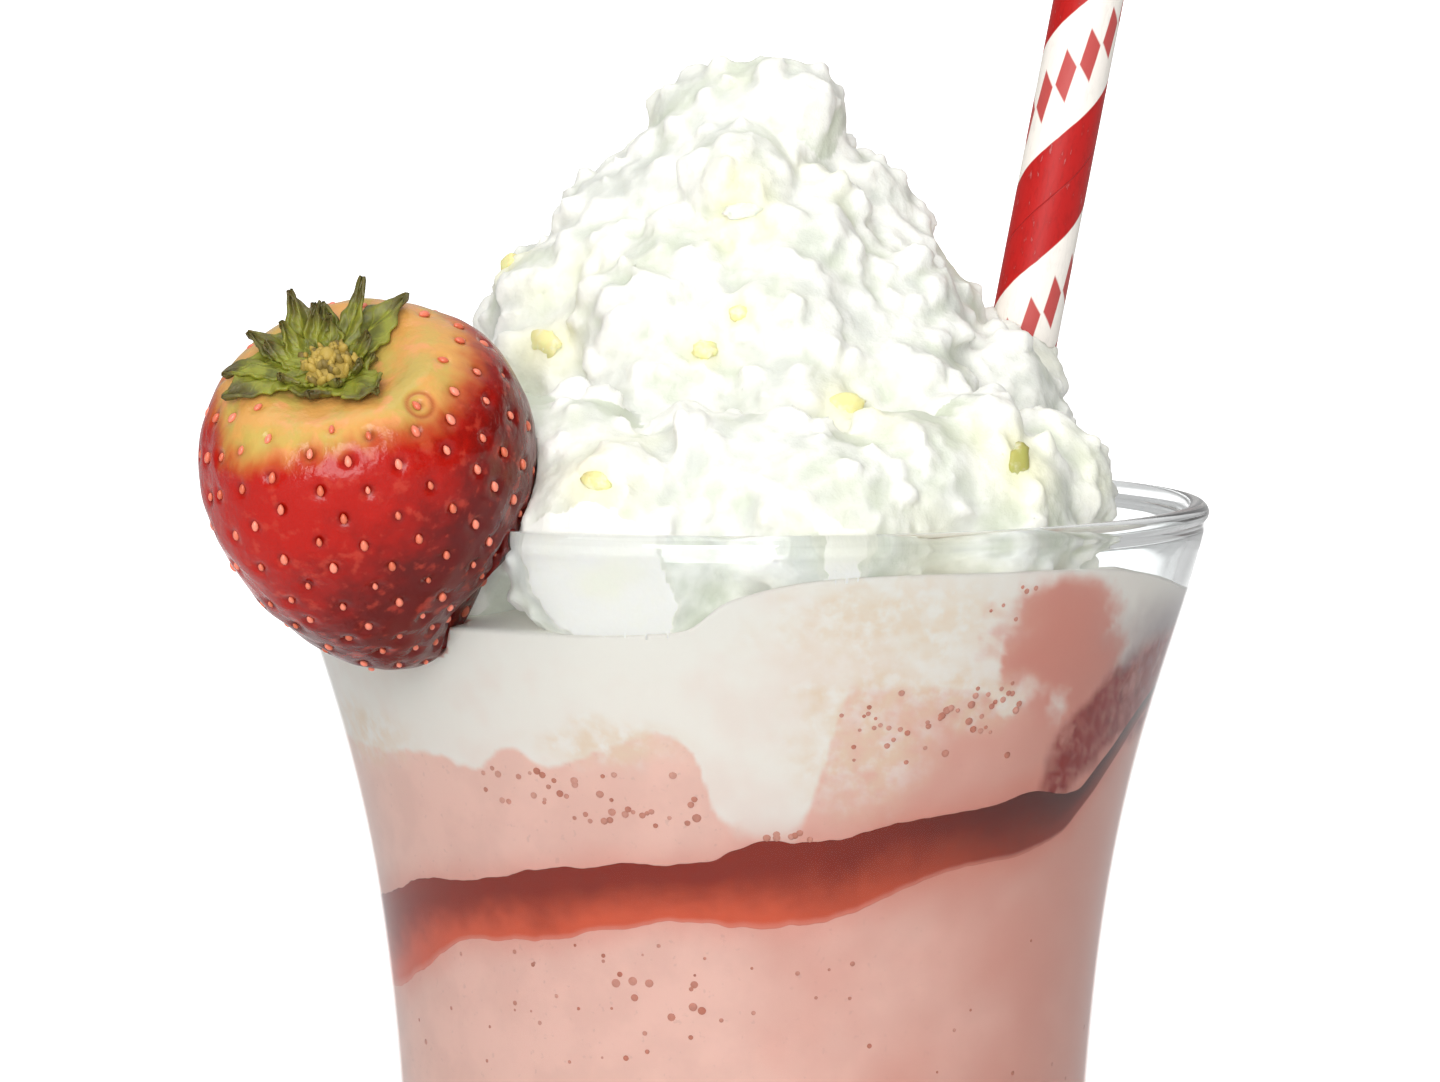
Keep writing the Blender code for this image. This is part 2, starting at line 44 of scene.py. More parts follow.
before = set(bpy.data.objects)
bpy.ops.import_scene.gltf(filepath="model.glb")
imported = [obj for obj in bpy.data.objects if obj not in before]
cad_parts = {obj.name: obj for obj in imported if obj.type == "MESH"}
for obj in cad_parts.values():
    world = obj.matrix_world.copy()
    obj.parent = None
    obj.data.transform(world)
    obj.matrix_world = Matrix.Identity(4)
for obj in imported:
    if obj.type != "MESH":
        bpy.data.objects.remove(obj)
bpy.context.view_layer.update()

# Glass, as in the part's source
RIM = 0.155
BODY_RADIUS = 0.0355
BODY_TAPER = 0.030
FLARE = 0.0106
FLARE_DEPTH = 0.0275
FLARE_FADE = 1.5
RIM_RADIUS = BODY_RADIUS + FLARE
LIP_RADIUS = 0.00115
LIP_DEPTH = 0.0028
WALL_AT_LIP = 0.0018
WALL_AT_FOOT = 0.0030
HEEL_RADIUS = 0.004
FLOOR = 0.013
FLOOR_CORNER = 0.012
INTO_WALL = 0.00025

# Drink: the level where it meets the wall, as turn in degrees and depth under the rim
LEVEL_AT_WALL = (
    (-180, 0.0095), (-130, 0.0096), (-98, 0.0092), (-92, 0.0062), (-80, 0.0042), (-56, 0.0040),
    (-38, 0.0044), (-26, 0.0056), (-12, 0.0075), (5, 0.0085), (30, 0.0085), (90, 0.0085), (180, 0.0095),
)
LEVEL_AT_CENTRE = 0.0080

# Where the melted cream on the wall gives way to the pink drink
PINK_EDGE = (
    (-180, 0.0225), (-156, 0.0227), (-141, 0.0225), (-132, 0.0235), (-125, 0.0214), (-119, 0.0230),
    (-109, 0.0206), (-102, 0.0191), (-97, 0.0218), (-94, 0.0272), (-90, 0.0292), (-82, 0.0288),
    (-79, 0.0235), (-76, 0.0155), (-68, 0.0148), (-60, 0.0155), (-54, 0.0168), (-51, 0.0185), (-46, 0.0162),
    (-40, 0.0186), (-34, 0.0160), (-24, 0.0150), (0, 0.0160), (25, 0.0215), (48, 0.0180), (70, 0.0250),
    (95, 0.0200), (120, 0.0265), (150, 0.0210), (180, 0.0225),
)

# Syrup: its upper and lower edges on the wall
SYRUP_TOP = (
    (-245, 0.0575), (-228, 0.0530), (-205, 0.0460), (-180, 0.0388), (-165, 0.0377), (-153, 0.0358),
    (-133, 0.0346), (-126, 0.0335), (-111, 0.0325), (-95, 0.0317), (-88, 0.0300), (-76, 0.0296),
    (-66, 0.0281), (-52, 0.0270), (-42, 0.0255), (-32, 0.0262), (-27, 0.0240), (-15, 0.0182), (2, 0.0150),
)
SYRUP_LOW = (
    (-245, 0.0590), (-228, 0.0578), (-205, 0.0545), (-180, 0.0490), (-165, 0.0473), (-154, 0.0449),
    (-147, 0.0426), (-140, 0.0411), (-123, 0.0403), (-111, 0.0388), (-101, 0.0380), (-84, 0.0385),
    (-76, 0.0379), (-65, 0.0353), (-56, 0.0336), (-43, 0.0331), (-35, 0.0317), (-29, 0.0290), (-15, 0.0216),
    (2, 0.0164),
)
SYRUP_INTO_WALL = 0.00034

# Soft patches on the drink against the wall: turn, depth, half turn, half depth and softness
PINK_PATCHES = (
    (-45.0, 0.0108, 12.0, 0.0062, 0.42),
    (-38.0, 0.0145, 9.5, 0.0052, 0.55),
    (-52.0, 0.0125, 4.0, 0.0030, 0.50),
)
MELTED_PATCHES = (
    (-48.0, 0.0160, 3.4, 0.0016, 0.55),
    (-41.0, 0.0182, 2.6, 0.0024, 0.60),
    (-30.0, 0.0068, 2.2, 0.0016, 0.55),
    (-59.5, 0.0130, 3.4, 0.0070, 0.60),
)
# The grey patches are painted shade on the drink's shaded right side just under the rim.
SHADE_PATCHES = (
    (-6.0, 0.0085, 22.0, 0.0085, 0.55),
    (-11.0, 0.0145, 16.0, 0.0040, 0.60),
)
FROTH_PATCHES = (
    (-72.0, 0.0195, 10.0, 0.0075, 0.55),
    (-58.0, 0.0165, 9.0, 0.0030, 0.60),
    (-109.0, 0.0205, 9.0, 0.0022, 0.60),
    (-70.0, 0.0088, 14.0, 0.0040, 0.80),
    (-160.0, 0.0215, 12.0, 0.0030, 0.70),
)
# The middle of the smear, as turn and depth
SMEAR_PATH = (
    (-42, 0.0262), (-36, 0.0233), (-33, 0.0214), (-26, 0.0184), (-21, 0.0176), (-12, 0.0168), (4, 0.0160),
)
SYRUP_DEPTH = 0.0024

# Bubbles on the wall, as low and high turn, low and high depth, count, and least and most radius
BUBBLE_CLUSTERS = (
    (-131, -117, 0.0232, 0.0268, 16, 0.00022, 0.00040),
    (-117, -97, 0.0226, 0.0284, 26, 0.00022, 0.00046),
    (-88, -80, 0.0280, 0.0298, 7, 0.00022, 0.00040),
    (-77, -66, 0.0165, 0.0225, 12, 0.00018, 0.00030),
    (-70, -49, 0.0150, 0.0222, 34, 0.00022, 0.00044),
    (-58, -48, 0.0050, 0.0090, 6, 0.00018, 0.00032),
    (-112, -95, 0.0430, 0.0505, 10, 0.00024, 0.00046),
    (-140, -30, 0.0400, 0.0640, 40, 0.00014, 0.00026),
    (20, 75, 0.0240, 0.0310, 40, 0.00022, 0.00042),
    (100, 160, 0.0270, 0.0330, 40, 0.00022, 0.00042),
    (-180, 180, 0.0420, 0.1350, 170, 0.00014, 0.00030),
)

# Whipped cream, as in the part's source
CREAM_CENTRE = 0.004
CREAM_SEED = 11
CREAM_TIERS = (
    (-0.0030, -0.0035, 0.0390, 13, 0.0082),
    (0.0050, -0.0010, 0.0325, 12, 0.0070),
    (0.0115, 0.0015, 0.0300, 11, 0.0063),
    (0.0180, -0.0005, 0.0250, 9, 0.0060),
    (0.0240, 0.0000, 0.0200, 8, 0.0055),
    (0.0295, 0.0005, 0.0160, 7, 0.0050),
    (0.0345, 0.0010, 0.0108, 5, 0.0045),
)
CREAM_CORE = ((0.004, 0.0275), (0.014, 0.0200), (0.024, 0.0140))
CREAM_SPOONS = (
    ((0.0005, 0.0000, 0.0358), 0.0070),
    ((0.0045, -0.0020, 0.0372), 0.0056),
    ((-0.0043, 0.0010, 0.0362), 0.0050),
    ((-0.0130, -0.0020, 0.0272), 0.0058),
    ((-0.0200, -0.0010, 0.0163), 0.0059),
    ((0.0123, 0.0010, 0.0262), 0.0058),
    ((0.0175, 0.0020, 0.0192), 0.0050),
    ((0.0268, -0.0020, 0.0073), 0.0058),
    ((0.0262, 0.0040, 0.0112), 0.0050),
    ((-0.0120, -0.0330, -0.0020), 0.0110),
    ((0.0070, -0.0340, -0.0010), 0.0105),
    ((0.0230, -0.0255, 0.0000), 0.0095),
    ((-0.0300, -0.0160, -0.0010), 0.0110),
    ((-0.0310, 0.0060, -0.0030), 0.0110),
)
# More spoonfuls that fill the gaps between those at the rim
CREAM_FILLS = (
    ((-0.0030, -0.0325, 0.0022), 0.0088),
    ((0.0155, -0.0300, 0.0030), 0.0082),
    ((-0.0215, -0.0262, 0.0040), 0.0088),
    ((0.0285, -0.0180, 0.0020), 0.0080),
    ((-0.0080, -0.0345, -0.0050), 0.0090),
    ((0.0020, -0.0335, 0.0062), 0.0050),
    ((0.0225, -0.0262, 0.0078), 0.0046),
    ((-0.0150, -0.0305, 0.0070), 0.0052),
    ((0.0262, 0.0058, 0.0060), 0.0058),
)
CREAM_BLEND = 1000.0
CREAM_OVER_LIP = 0.0040
CREAM_COLUMNS = 220
CREAM_ROWS = 120
CREAM_VOXEL = 0.00042
CREAM_SHRINK = 0.0008
CREAM_PEAK = 0.0014
CREAM_LUMP = 0.00060
CREAM_CRAG = 0.00018
CREAM_FINE = 0.00008
CURDS = 1100
CRUMB_THICKNESS = 0.0007

# Nut crumbs: turn, rise, length, width and how green each is, less than nothing where cream covers it
CRUMBS = (
    (-139, 26, 0.0024, 0.0013, 0.1),
    (-91, 35, 0.0011, 0.0009, 0.0),
    (-99, 27, 0.0012, 0.0010, 0.1),
    (-70, 14, 0.0019, 0.0012, 0.0),
    (-109, 1, 0.0016, 0.0010, 0.4),
    (-50, 3, 0.0012, 0.0018, 1.0),
    (-90, 58, 0.0020, 0.0013, -0.9),
    (25, 30, 0.0018, 0.0011, 0.2),
    (70, 15, 0.0014, 0.0011, 0.7),
    (110, 42, 0.0020, 0.0012, 0.1),
    (150, 22, 0.0016, 0.0010, 0.3),
    (-170, 40, 0.0015, 0.0011, 0.1),
)

# Strawberry, as in the part's source
BERRY_OUTLINE = (
    (0.00, 0.0000, 0.0124), (0.08, 0.0042, 0.0138), (0.18, 0.0094, 0.0146), (0.32, 0.0139, 0.0106),
    (0.46, 0.0158, 0.0034), (0.60, 0.0144, -0.0045), (0.74, 0.0106, -0.0111), (0.86, 0.0069, -0.0153),
    (0.95, 0.0035, -0.0175), (1.00, 0.0000, -0.0182),
)
BERRY_CENTRE = (-0.0358, -0.0345, RIM + 0.0042)
BERRY_NOD = 33.0
BERRY_LEAN = -11.0
BERRY_BEND = (0.0008, -0.0042)
BERRY_UNEVEN = ((2, 0.030, 0.6), (3, 0.022, 2.1), (5, 0.010, 0.3))
# A small pinch near the tip: its turn in radians, fall and depth
PINCH_TURN = -0.62
PINCH_FALL = 0.79
PINCH_DEPTH = 0.0026
# A round scar on the shoulder: turn in degrees, fall, and the radius of its ring
SCAR = (-49, 0.215, 0.0013)
# How far down the outline the pale shoulder ends and the full red starts, by turn
SHOULDER_ENDS = (
    (-180, 0.265, 0.305), (-166, 0.255, 0.305), (-152, 0.285, 0.320), (-134, 0.270, 0.300),
    (-116, 0.242, 0.270), (-94, 0.232, 0.260), (-73, 0.229, 0.272), (-60, 0.238, 0.290),
    (-42, 0.245, 0.300), (-19, 0.232, 0.288), (10, 0.232, 0.280), (37, 0.250, 0.290), (90, 0.250, 0.300),
    (180, 0.265, 0.305),
)
BERRY_COLUMNS = 300
BERRY_ROWS = 220
BERRY_SWELL = 0.00035
BERRY_GAP = 0.0002
SLOT_PLAY = 0.00025
SLOT_REACH = 0.045
BERRY_SEEDS = 215
SEED_FROM = 0.17
PIT_RADIUS = 0.00115
PIT_DEPTH = 0.00042
SEED_SIZE = (0.00042, 0.00066, 0.00034)
SEED_RISE = 0.00022

# Calyx: turn, length, half width and lift of each leaf, as in the part's source
LEAVES = (
    (-166, 0.0080, 0.0034, 0.0004),
    (-112, 0.0042, 0.0036, 0.0003),
    (-52, 0.0076, 0.0036, 0.0004),
    (-8, 0.0042, 0.0028, 0.0005),
    (38, 0.0096, 0.0033, 0.0005),
    (55, 0.0076, 0.0019, 0.0034),
    (78, 0.0058, 0.0022, 0.0016),
    (108, 0.0062, 0.0022, 0.0030),
    (142, 0.0062, 0.0026, 0.0012),
    (172, 0.0076, 0.0028, 0.0004),
)
INNER_LEAVES = (
    (-140, 0.0040, 0.0020, 0.0012),
    (-80, 0.0036, 0.0018, 0.0010),
    (-25, 0.0034, 0.0018, 0.0014),
    (20, 0.0044, 0.0020, 0.0018),
    (70, 0.0040, 0.0020, 0.0022),
    (97, 0.0046, 0.0017, 0.0030),
    (127, 0.0042, 0.0018, 0.0024),
    (158, 0.0044, 0.0020, 0.0016),
)
CALYX_MIDDLE = (-0.0019, 0.0003)
LEAF_START = 0.0012
LEAF_ROOT = 0.0008
LEAF_WAVE = 0.00035
LEAF_GAP = 0.0004
LEAF_THICKNESS = 0.00032
LEAF_ALONG = 40
LEAF_ACROSS = 16
HUB_RADIUS = 0.0027
HUB_HEIGHT = 0.0011

# Straw, as in the part's source
STRAW_RADIUS = 0.00345
STRAW_WALL = 0.0004
STRAW_GAP = 0.0001
STRAW_LENGTH = 0.212
STRAW_LEAN = 10.8
STRAW_FOOT = (-0.0020, 0.0060, FLOOR + 0.0013)
STRIPE_LEAD = 0.0262
STRIPE_RED = 0.485
STRIPE_START = 0.366

# Studio: each light's name, spot, size and power
LIGHTS = (
    ("front_softbox", (-0.25, -1.7, 0.55), 1.0, 26.0),
    ("top_softbox", (-0.3, -0.1, 1.5), 0.8, 3.0),
)
LIGHTS_AIM = (0.0, 0.0, 0.14)
FLOOR_DROP = -0.0002
GRAIN_ROUGHNESS = 0.55

# Camera
CAMERA_RISE = 4.7
CAMERA_DISTANCE = 1.0
FRAME_WIDTH = 0.14257
AIM = (-0.00233, -0.00416)


# Curves and meshes


def smooth_through(points, x, column=1):
    """The values at x of a smooth curve through points, which are rows in order of their first number."""
    rows = np.array(points, float)
    if rows[0, 0] > rows[-1, 0]:
        rows = rows[::-1]
    xs, ys = rows[:, 0], rows[:, column]
    x = np.clip(np.asarray(x, float), xs[0], xs[-1])
    i = np.clip(np.searchsorted(xs, x, side="right") - 1, 0, len(xs) - 2)
    low = np.maximum(np.arange(len(xs)) - 1, 0)
    high = np.minimum(np.arange(len(xs)) + 1, len(xs) - 1)
    slopes = (ys[high] - ys[low]) / (xs[high] - xs[low])
    span = xs[i + 1] - xs[i]
    t = (x - xs[i]) / span
    return (
        ys[i] * (1 + 2 * t) * (1 - t) ** 2
        + ys[i + 1] * t * t * (3 - 2 * t)
        + slopes[i] * span * t * (1 - t) ** 2
        - slopes[i + 1] * span * t * t * (1 - t)
    )


def outer_radius(z):
    depth = np.maximum(RIM - np.asarray(z, float), 0.0)
    return BODY_RADIUS - BODY_TAPER * depth + FLARE * np.exp(-((depth / FLARE_DEPTH) ** FLARE_FADE))


def inner_radius(z):
    share = np.clip((RIM - np.asarray(z, float)) / RIM, 0.0, 1.0)
    return outer_radius(z) - (WALL_AT_LIP + (WALL_AT_FOOT - WALL_AT_LIP) * share)


def drink_level(radius, turn):
    """The height of the drink's surface, at a turn in radians."""
    degrees = (np.degrees(turn) + 180) % 360 - 180
    wall = smooth_through(LEVEL_AT_WALL, degrees)
    share = np.minimum(np.asarray(radius) / RIM_RADIUS, 1.0) ** 2
    return RIM - (LEVEL_AT_CENTRE + (wall - LEVEL_AT_CENTRE) * share)


def step(low, high, x):
    """A smooth change from 0 at low to 1 at high."""
    t = np.clip((np.asarray(x, float) - low) / (high - low), 0.0, 1.0)
    return t * t * (3 - 2 * t)


def wobble(points, scale, octaves=3, seed=0.0):
    """Fractal noise at points, about -1 to 1."""
    shift = Vector((seed, seed * 1.7, -seed))
    found = [noise.fractal(Vector(p) * scale + shift, 1.0, 2.0, octaves) for p in points.reshape(-1, 3)]
    return np.array(found).reshape(points.shape[:-1])


def polar(radius, turn, z):
    return np.stack(np.broadcast_arrays(radius * np.cos(turn), radius * np.sin(turn), z), axis=-1)


def full_turn(count, start=0.0):
    """Turns in radians, evenly spread once round."""
    return np.linspace(start, start + 2 * math.pi, count, endpoint=False)


def new_object(name, data, material=None):
    """Links an object to the scene, names its data after it and gives it its material."""
    data.name = name
    if material:
        data.materials.append(material)
    made = bpy.data.objects.new(name, data)
    bpy.context.scene.collection.objects.link(made)
    return made


def ring_faces(rows, columns, wrap_rows=False):
    """Quads between rings of vertices that lie row after row."""
    last = rows if wrap_rows else rows - 1
    faces = []
    for row in range(last):
        first, second = row * columns, (row + 1) % rows * columns
        for column in range(columns):
            after = (column + 1) % columns
            faces.append((first + column, first + after, second + after, second + column))
    return faces


def set_layers(mesh, layers):
    """Keeps a value for each point of a mesh under each layer's name."""
    for layer, values in layers.items():
        stored = mesh.attributes.new(layer, "FLOAT", "POINT").data
        stored.foreach_set("value", np.asarray(values, np.float32).reshape(-1))


def smooth_mesh(verts, faces, layers):
    mesh = bpy.data.meshes.new("piece")
    mesh.from_pydata(verts, [], faces)
    set_layers(mesh, layers)
    mesh.shade_smooth()
    return mesh


def lathe_mesh(points, wrap_rows=False, layers=None):
    """A closed mesh from rings of points, whose end rings, unless wrapped, close on single points."""
    rows, columns = points.shape[:2]
    verts = points.reshape(-1, 3)
    faces = ring_faces(rows, columns, wrap_rows)
    if not wrap_rows:
        top, bottom = rows * columns, rows * columns + 1
        verts = np.vstack([verts, points[0].mean(axis=0), points[-1].mean(axis=0)])
        start = (rows - 1) * columns
        faces += [(top, (c + 1) % columns, c) for c in range(columns)]
        faces += [(bottom, start + c, start + (c + 1) % columns) for c in range(columns)]
    ends = {name: [values[0].mean(), values[-1].mean()] for name, values in (layers or {}).items()}
    mesh = smooth_mesh(verts.tolist(), faces, {name: np.append(layers[name], ends[name]) for name in ends})
    face_out(mesh)
    return mesh


def face_out(mesh):
    bm = bmesh.new()
    bm.from_mesh(mesh)
    bmesh.ops.recalc_face_normals(bm, faces=bm.faces)
    if bm.calc_volume(signed=True) < 0:
        bmesh.ops.reverse_faces(bm, faces=bm.faces)
    bm.to_mesh(mesh)
    bm.free()


def scattered_mesh(parts):
    """One mesh of many small closed shapes, each a (vertices, faces, values by layer) triple."""
    verts, faces, layers = [], [], {}
    for shape, shape_faces, values in parts:
        base = len(verts)
        verts += shape
        faces += [tuple(base + i for i in face) for face in shape_faces]
        for layer, value in values.items():
            layers.setdefault(layer, []).extend([value] * len(shape))
    return smooth_mesh(verts, faces, layers)


def ball_shape(subdivisions):
    """The vertices and faces of a unit ball."""
    bm = bmesh.new()
    bmesh.ops.create_icosphere(bm, subdivisions=subdivisions, radius=1.0)
    verts = [v.co.copy() for v in bm.verts]
    faces = [tuple(v.index for v in f.verts) for f in bm.faces]
    bm.free()
    return verts, faces


def carve(solid, cutters, operation="DIFFERENCE"):
    """Carves solid by cutters for good, keeps its material on every face, and removes the cutters."""
    for cutter in cutters:
        modifier = solid.modifiers.new("Carve", "BOOLEAN")
        modifier.operation = operation
        modifier.solver = "MANIFOLD"
        modifier.object = cutter
    materials = list(solid.data.materials)
    carved = applied(solid)
    carved.polygons.foreach_set("material_index", np.zeros(len(carved.polygons), np.int32))
    carved.materials.clear()
    for material in materials:
        carved.materials.append(material)
    for cutter in cutters:
        bpy.data.objects.remove(cutter, do_unlink=True)


def applied(solid):
    """Replaces an object's mesh by what its modifiers make of it."""
    bpy.context.view_layer.update()
    graph = bpy.context.evaluated_depsgraph_get()
    made = bpy.data.meshes.new_from_object(solid.evaluated_get(graph))
    solid.modifiers.clear()
    solid.data = made
    return made


# Shaders


def arithmetic(operation, reflected=False):
    """An operator of Wire, or its reflected form, which puts the other value first."""

    def method(self, other):
        pair = (other, self) if reflected else (self, other)
        return self.math(operation, *pair)

    return method


class Wire:
    """A shader socket that plain arithmetic works on."""

    __add__ = arithmetic("ADD")
    __radd__ = arithmetic("ADD", reflected=True)
    __sub__ = arithmetic("SUBTRACT")
    __rsub__ = arithmetic("SUBTRACT", reflected=True)
    __mul__ = arithmetic("MULTIPLY")
    __rmul__ = arithmetic("MULTIPLY", reflected=True)
    __gt__ = arithmetic("GREATER_THAN")

    def __init__(self, finish, socket):
        self.finish = finish
        self.socket = socket

    def math(self, operation, first, second=None):
        values = {0: first} if second is None else {0: first, 1: second}
        return self.finish.node("ShaderNodeMath", {"operation": operation}, values)

    def __abs__(self):
        return self.math("ABSOLUTE", self)

    def fraction(self):
        return self.math("FRACT", self)

    def sine(self):
        return self.math("SINE", self)

    def above(self, low, high):
        """0 at low to 1 at high, held between."""
        sockets = {"Value": self, "From Min": low, "From Max": high}
        return self.finish.node("ShaderNodeMapRange", {"interpolation_type": "SMOOTHSTEP"}, sockets)


class Nodes:
    """Makes and links the nodes of one tree."""

    def __init__(self, tree):
        self.tree = tree

    def node(self, kind, settings=None, sockets=None, output=0):
        made = self.tree.nodes.new(kind)
        for name, value in (settings or {}).items():
            setattr(made, name, value)
        for key, value in (sockets or {}).items():
            if isinstance(value, Wire):
                self.tree.links.new(value.socket, made.inputs[key])
            else:
                made.inputs[key].default_value = value
        return Wire(self, made.outputs[output])

    def split(self, vector):
        """The x, y and z of a vector."""
        outputs = self.node("ShaderNodeSeparateXYZ", None, {0: vector}).socket.node.outputs
        return tuple(Wire(self, outputs[i]) for i in range(3))


class Finish(Nodes):
    """A material built round one Principled shader."""

    def __init__(self, name, **constants):
        self.material = bpy.data.materials.new(name)
        self.material.use_nodes = True
        super().__init__(self.material.node_tree)
        self.shader = self.tree.nodes["Principled BSDF"]
        for socket, value in constants.items():
            self.shader.inputs[socket.replace("_", " ")].default_value = value

    def layer(self, name):
        return self.node("ShaderNodeAttribute", {"attribute_name": name}, output=2)

    def place(self):
        return self.node("ShaderNodeTexCoord", output=3)

    def axes(self):
        """The object's own x, y and z."""
        return self.split(self.place())

    def grain(self, scale, detail=3.0, distortion=0.0, place=None):
        """Noise from 0 to 1, where a greater scale is finer."""
        sockets = {"Vector": place or self.place(), "Scale": scale, "Detail": detail}
        sockets.update({"Roughness": GRAIN_ROUGHNESS, "Distortion": distortion})
        return self.node("ShaderNodeTexNoise", None, sockets)

    def blend(self, low, high, factor):
        """low where factor is 0 and high where it is 1; each is a colour or a wire."""
        ends = [value if isinstance(value, Wire) else (*value, 1.0) for value in (low, high)]
        sockets = {0: factor, 6: ends[0], 7: ends[1]}
        return self.node("ShaderNodeMix", {"data_type": "RGBA"}, sockets, output=2)

    def feed(self, **wires):
        for socket, wire in wires.items():
            self.tree.links.new(wire.socket, self.shader.inputs[socket.replace("_", " ")])
        return self.material

    def bumps(self, height, strength, distance):
        sockets = {"Height": height, "Strength": strength, "Distance": distance}
        return self.node("ShaderNodeBump", None, sockets)


def linear(red, green, blue):
    """A shader colour from the usual 0 to 255 screen numbers."""
    shares = [value / 255 for value in (red, green, blue)]
    return tuple(s / 12.92 if s <= 0.04045 else ((s + 0.055) / 1.055) ** 2.4 for s in shares)


def toned(colour, share, lift=0.0):
    """A colour times a share, or times a share for each of its parts, and lifted a little."""
    return tuple(np.minimum(np.array(colour) * share + lift, 1.0))


def mixed(first, second, share):
    """A colour between two, with the given share of the second."""
    return tuple((1 - share) * np.array(first) + share * np.array(second))


def colour_setting(name, subject, screen):
    about = {"name": name, "description": "Colour of " + subject, "default": linear(*screen)}
    return bpy.props.FloatVectorProperty(subtype="COLOR", size=3, min=0.0, max=1.0, **about)


def length_setting(name, description, default):
    return bpy.props.FloatProperty(
        name=name, description=description, default=default, subtype="DISTANCE", unit="LENGTH", precision=5
    )


class MilkshakeGlassSettings(bpy.types.PropertyGroup):
    tint: colour_setting("Tint", "the clear glass", (249, 251, 251))


class MilkshakeDrinkSettings(bpy.types.PropertyGroup):
    pink: colour_setting("Pink", "the drink", (248, 207, 193))
    # Deep pink colours the pink patches, and is also painted shade on the drink's right side.
    deep_pink: colour_setting("Deep pink", "the drink where less milk has mixed in", (236, 176, 160))
    smear: colour_setting("Smear", "the syrup smeared up the right of the wall", (152, 26, 14))
    # Painted shade: this grey goes on the drink's shaded right side just under the rim.
    shade_film: colour_setting("Grey film", "the thin film near the right of the rim", (176, 164, 166))
    melted: colour_setting("Melted cream", "the cream that has run down the wall", (254, 251, 243))
    froth: colour_setting("Froth", "the mottled froth", (246, 226, 200))
    bubble: colour_setting("Bubble", "the bubbles on the wall", (206, 130, 108))
    syrup_dark: colour_setting("Dark syrup", "the syrup where it is thick", (146, 42, 22))
    syrup_light: colour_setting("Light syrup", "the syrup where it is thin", (230, 100, 66))


class MilkshakeCreamSettings(bpy.types.PropertyGroup):
    cream: colour_setting("Cream", "the whipped cream", (237, 237, 230))
    # Painted light: this brighter colour, with a faint glow, goes on the cream under the rim to make up for
    # light the glass holds back.
    milky: colour_setting("Cream in the glass", "the cream that shows through the glass", (254, 254, 248))
    # Painted shade: this grey colour goes deep in the cream's creases.
    shade: colour_setting("Creases", "Colour deep in the creases", (206, 209, 200))
    crumb: colour_setting("Crumb", "the nut crumbs", (234, 226, 158))
    crumb_green: colour_setting("Green crumb", "the greenest crumb", (172, 170, 88))
    curd: length_setting("Curd", "Usual radius of the small curds on the cream", 0.0021)


class MilkshakeBerrySettings(bpy.types.PropertyGroup):
    red: colour_setting("Red", "the ripe skin", (172, 20, 9))
    # Deep red is painted shade low on the strawberry, on its right side and in its seed pits.
    deep: colour_setting("Deep red", "the darkest skin", (92, 10, 6))
    shoulder: colour_setting("Shoulder", "the unripe shoulder", (210, 154, 82))
    seed: colour_setting("Seed", "the seeds", (208, 100, 68))
    leaf: colour_setting("Leaf", "the leaves", (132, 134, 38))
    hub: colour_setting("Leaf middle", "the dry middle of the leaves", (178, 150, 66))


class MilkshakeStrawSettings(bpy.types.PropertyGroup):
    red: colour_setting("Red", "the red stripe", (178, 20, 18))
    white: colour_setting("White", "the bare paper", (240, 234, 226))


class MilkshakeStageSettings(bpy.types.PropertyGroup):
    floor: colour_setting("Floor", "the floor", (234, 234, 234))


# Glass


def lip_arc(count=18):
    """The round lip, from the inside over the top to the outside, as radius and height."""
    angles = np.radians(np.linspace(200.0, -40.0, count))
    centre = RIM_RADIUS - LIP_RADIUS
    return centre + LIP_RADIUS * np.cos(angles), RIM - LIP_RADIUS + LIP_RADIUS * np.sin(angles)


def glass_profile():
    """Radius and height from the middle of the inside floor, over the lip, to the middle of the underside."""
    corner = np.linspace(0.0, math.pi / 2, 16)
    edge = float(inner_radius(FLOOR + FLOOR_CORNER))
    inside = np.linspace(FLOOR + FLOOR_CORNER, RIM - LIP_DEPTH, 90)[1:]
    outside = np.linspace(RIM - LIP_DEPTH, HEEL_RADIUS, 110)
    heel = np.linspace(0.0, math.pi / 2, 8)[1:]
    heel_edge = float(outer_radius(HEEL_RADIUS)) - HEEL_RADIUS
    lip_r, lip_z = lip_arc()
    radius = [edge * np.sin(corner)[1:], inner_radius(inside), lip_r, outer_radius(outside)]
    height = [FLOOR + FLOOR_CORNER * (1 - np.cos(corner))[1:], inside, lip_z, outside]
    radius += [heel_edge + HEEL_RADIUS * np.cos(heel), heel_edge * np.array([0.7, 0.35, 0.05])]
    height += [HEEL_RADIUS * (1 - np.sin(heel)), np.zeros(3)]
    return np.concatenate(radius), np.concatenate(height)


class MILKSHAKE_OT_glass(bpy.types.Operator):
    """Turn the clear glass and give it its finish"""

    bl_idname = "milkshake.glass"
    bl_label = "Glass"

    def execute(self, context):
        radius, height = glass_profile()
        points = polar(radius[:, None], full_turn(192), height[:, None])
        tint = (*context.scene.milkshake_glass.tint, 1.0)
        clear = {"Base_Color": tint, "Roughness": 0.0, "IOR": 1.45, "Transmission_Weight": 1.0}
        finish = Finish("clear_glass_finish", **clear)
        smears = finish.grain(60.0, 2.0).above(0.55, 0.8) * 0.02
        glass = new_object("clear_glass", lathe_mesh(points), finish.feed(Roughness=smears))
        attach(glass, "root")
        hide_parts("glass")
        return {"FINISHED"}


# Drink


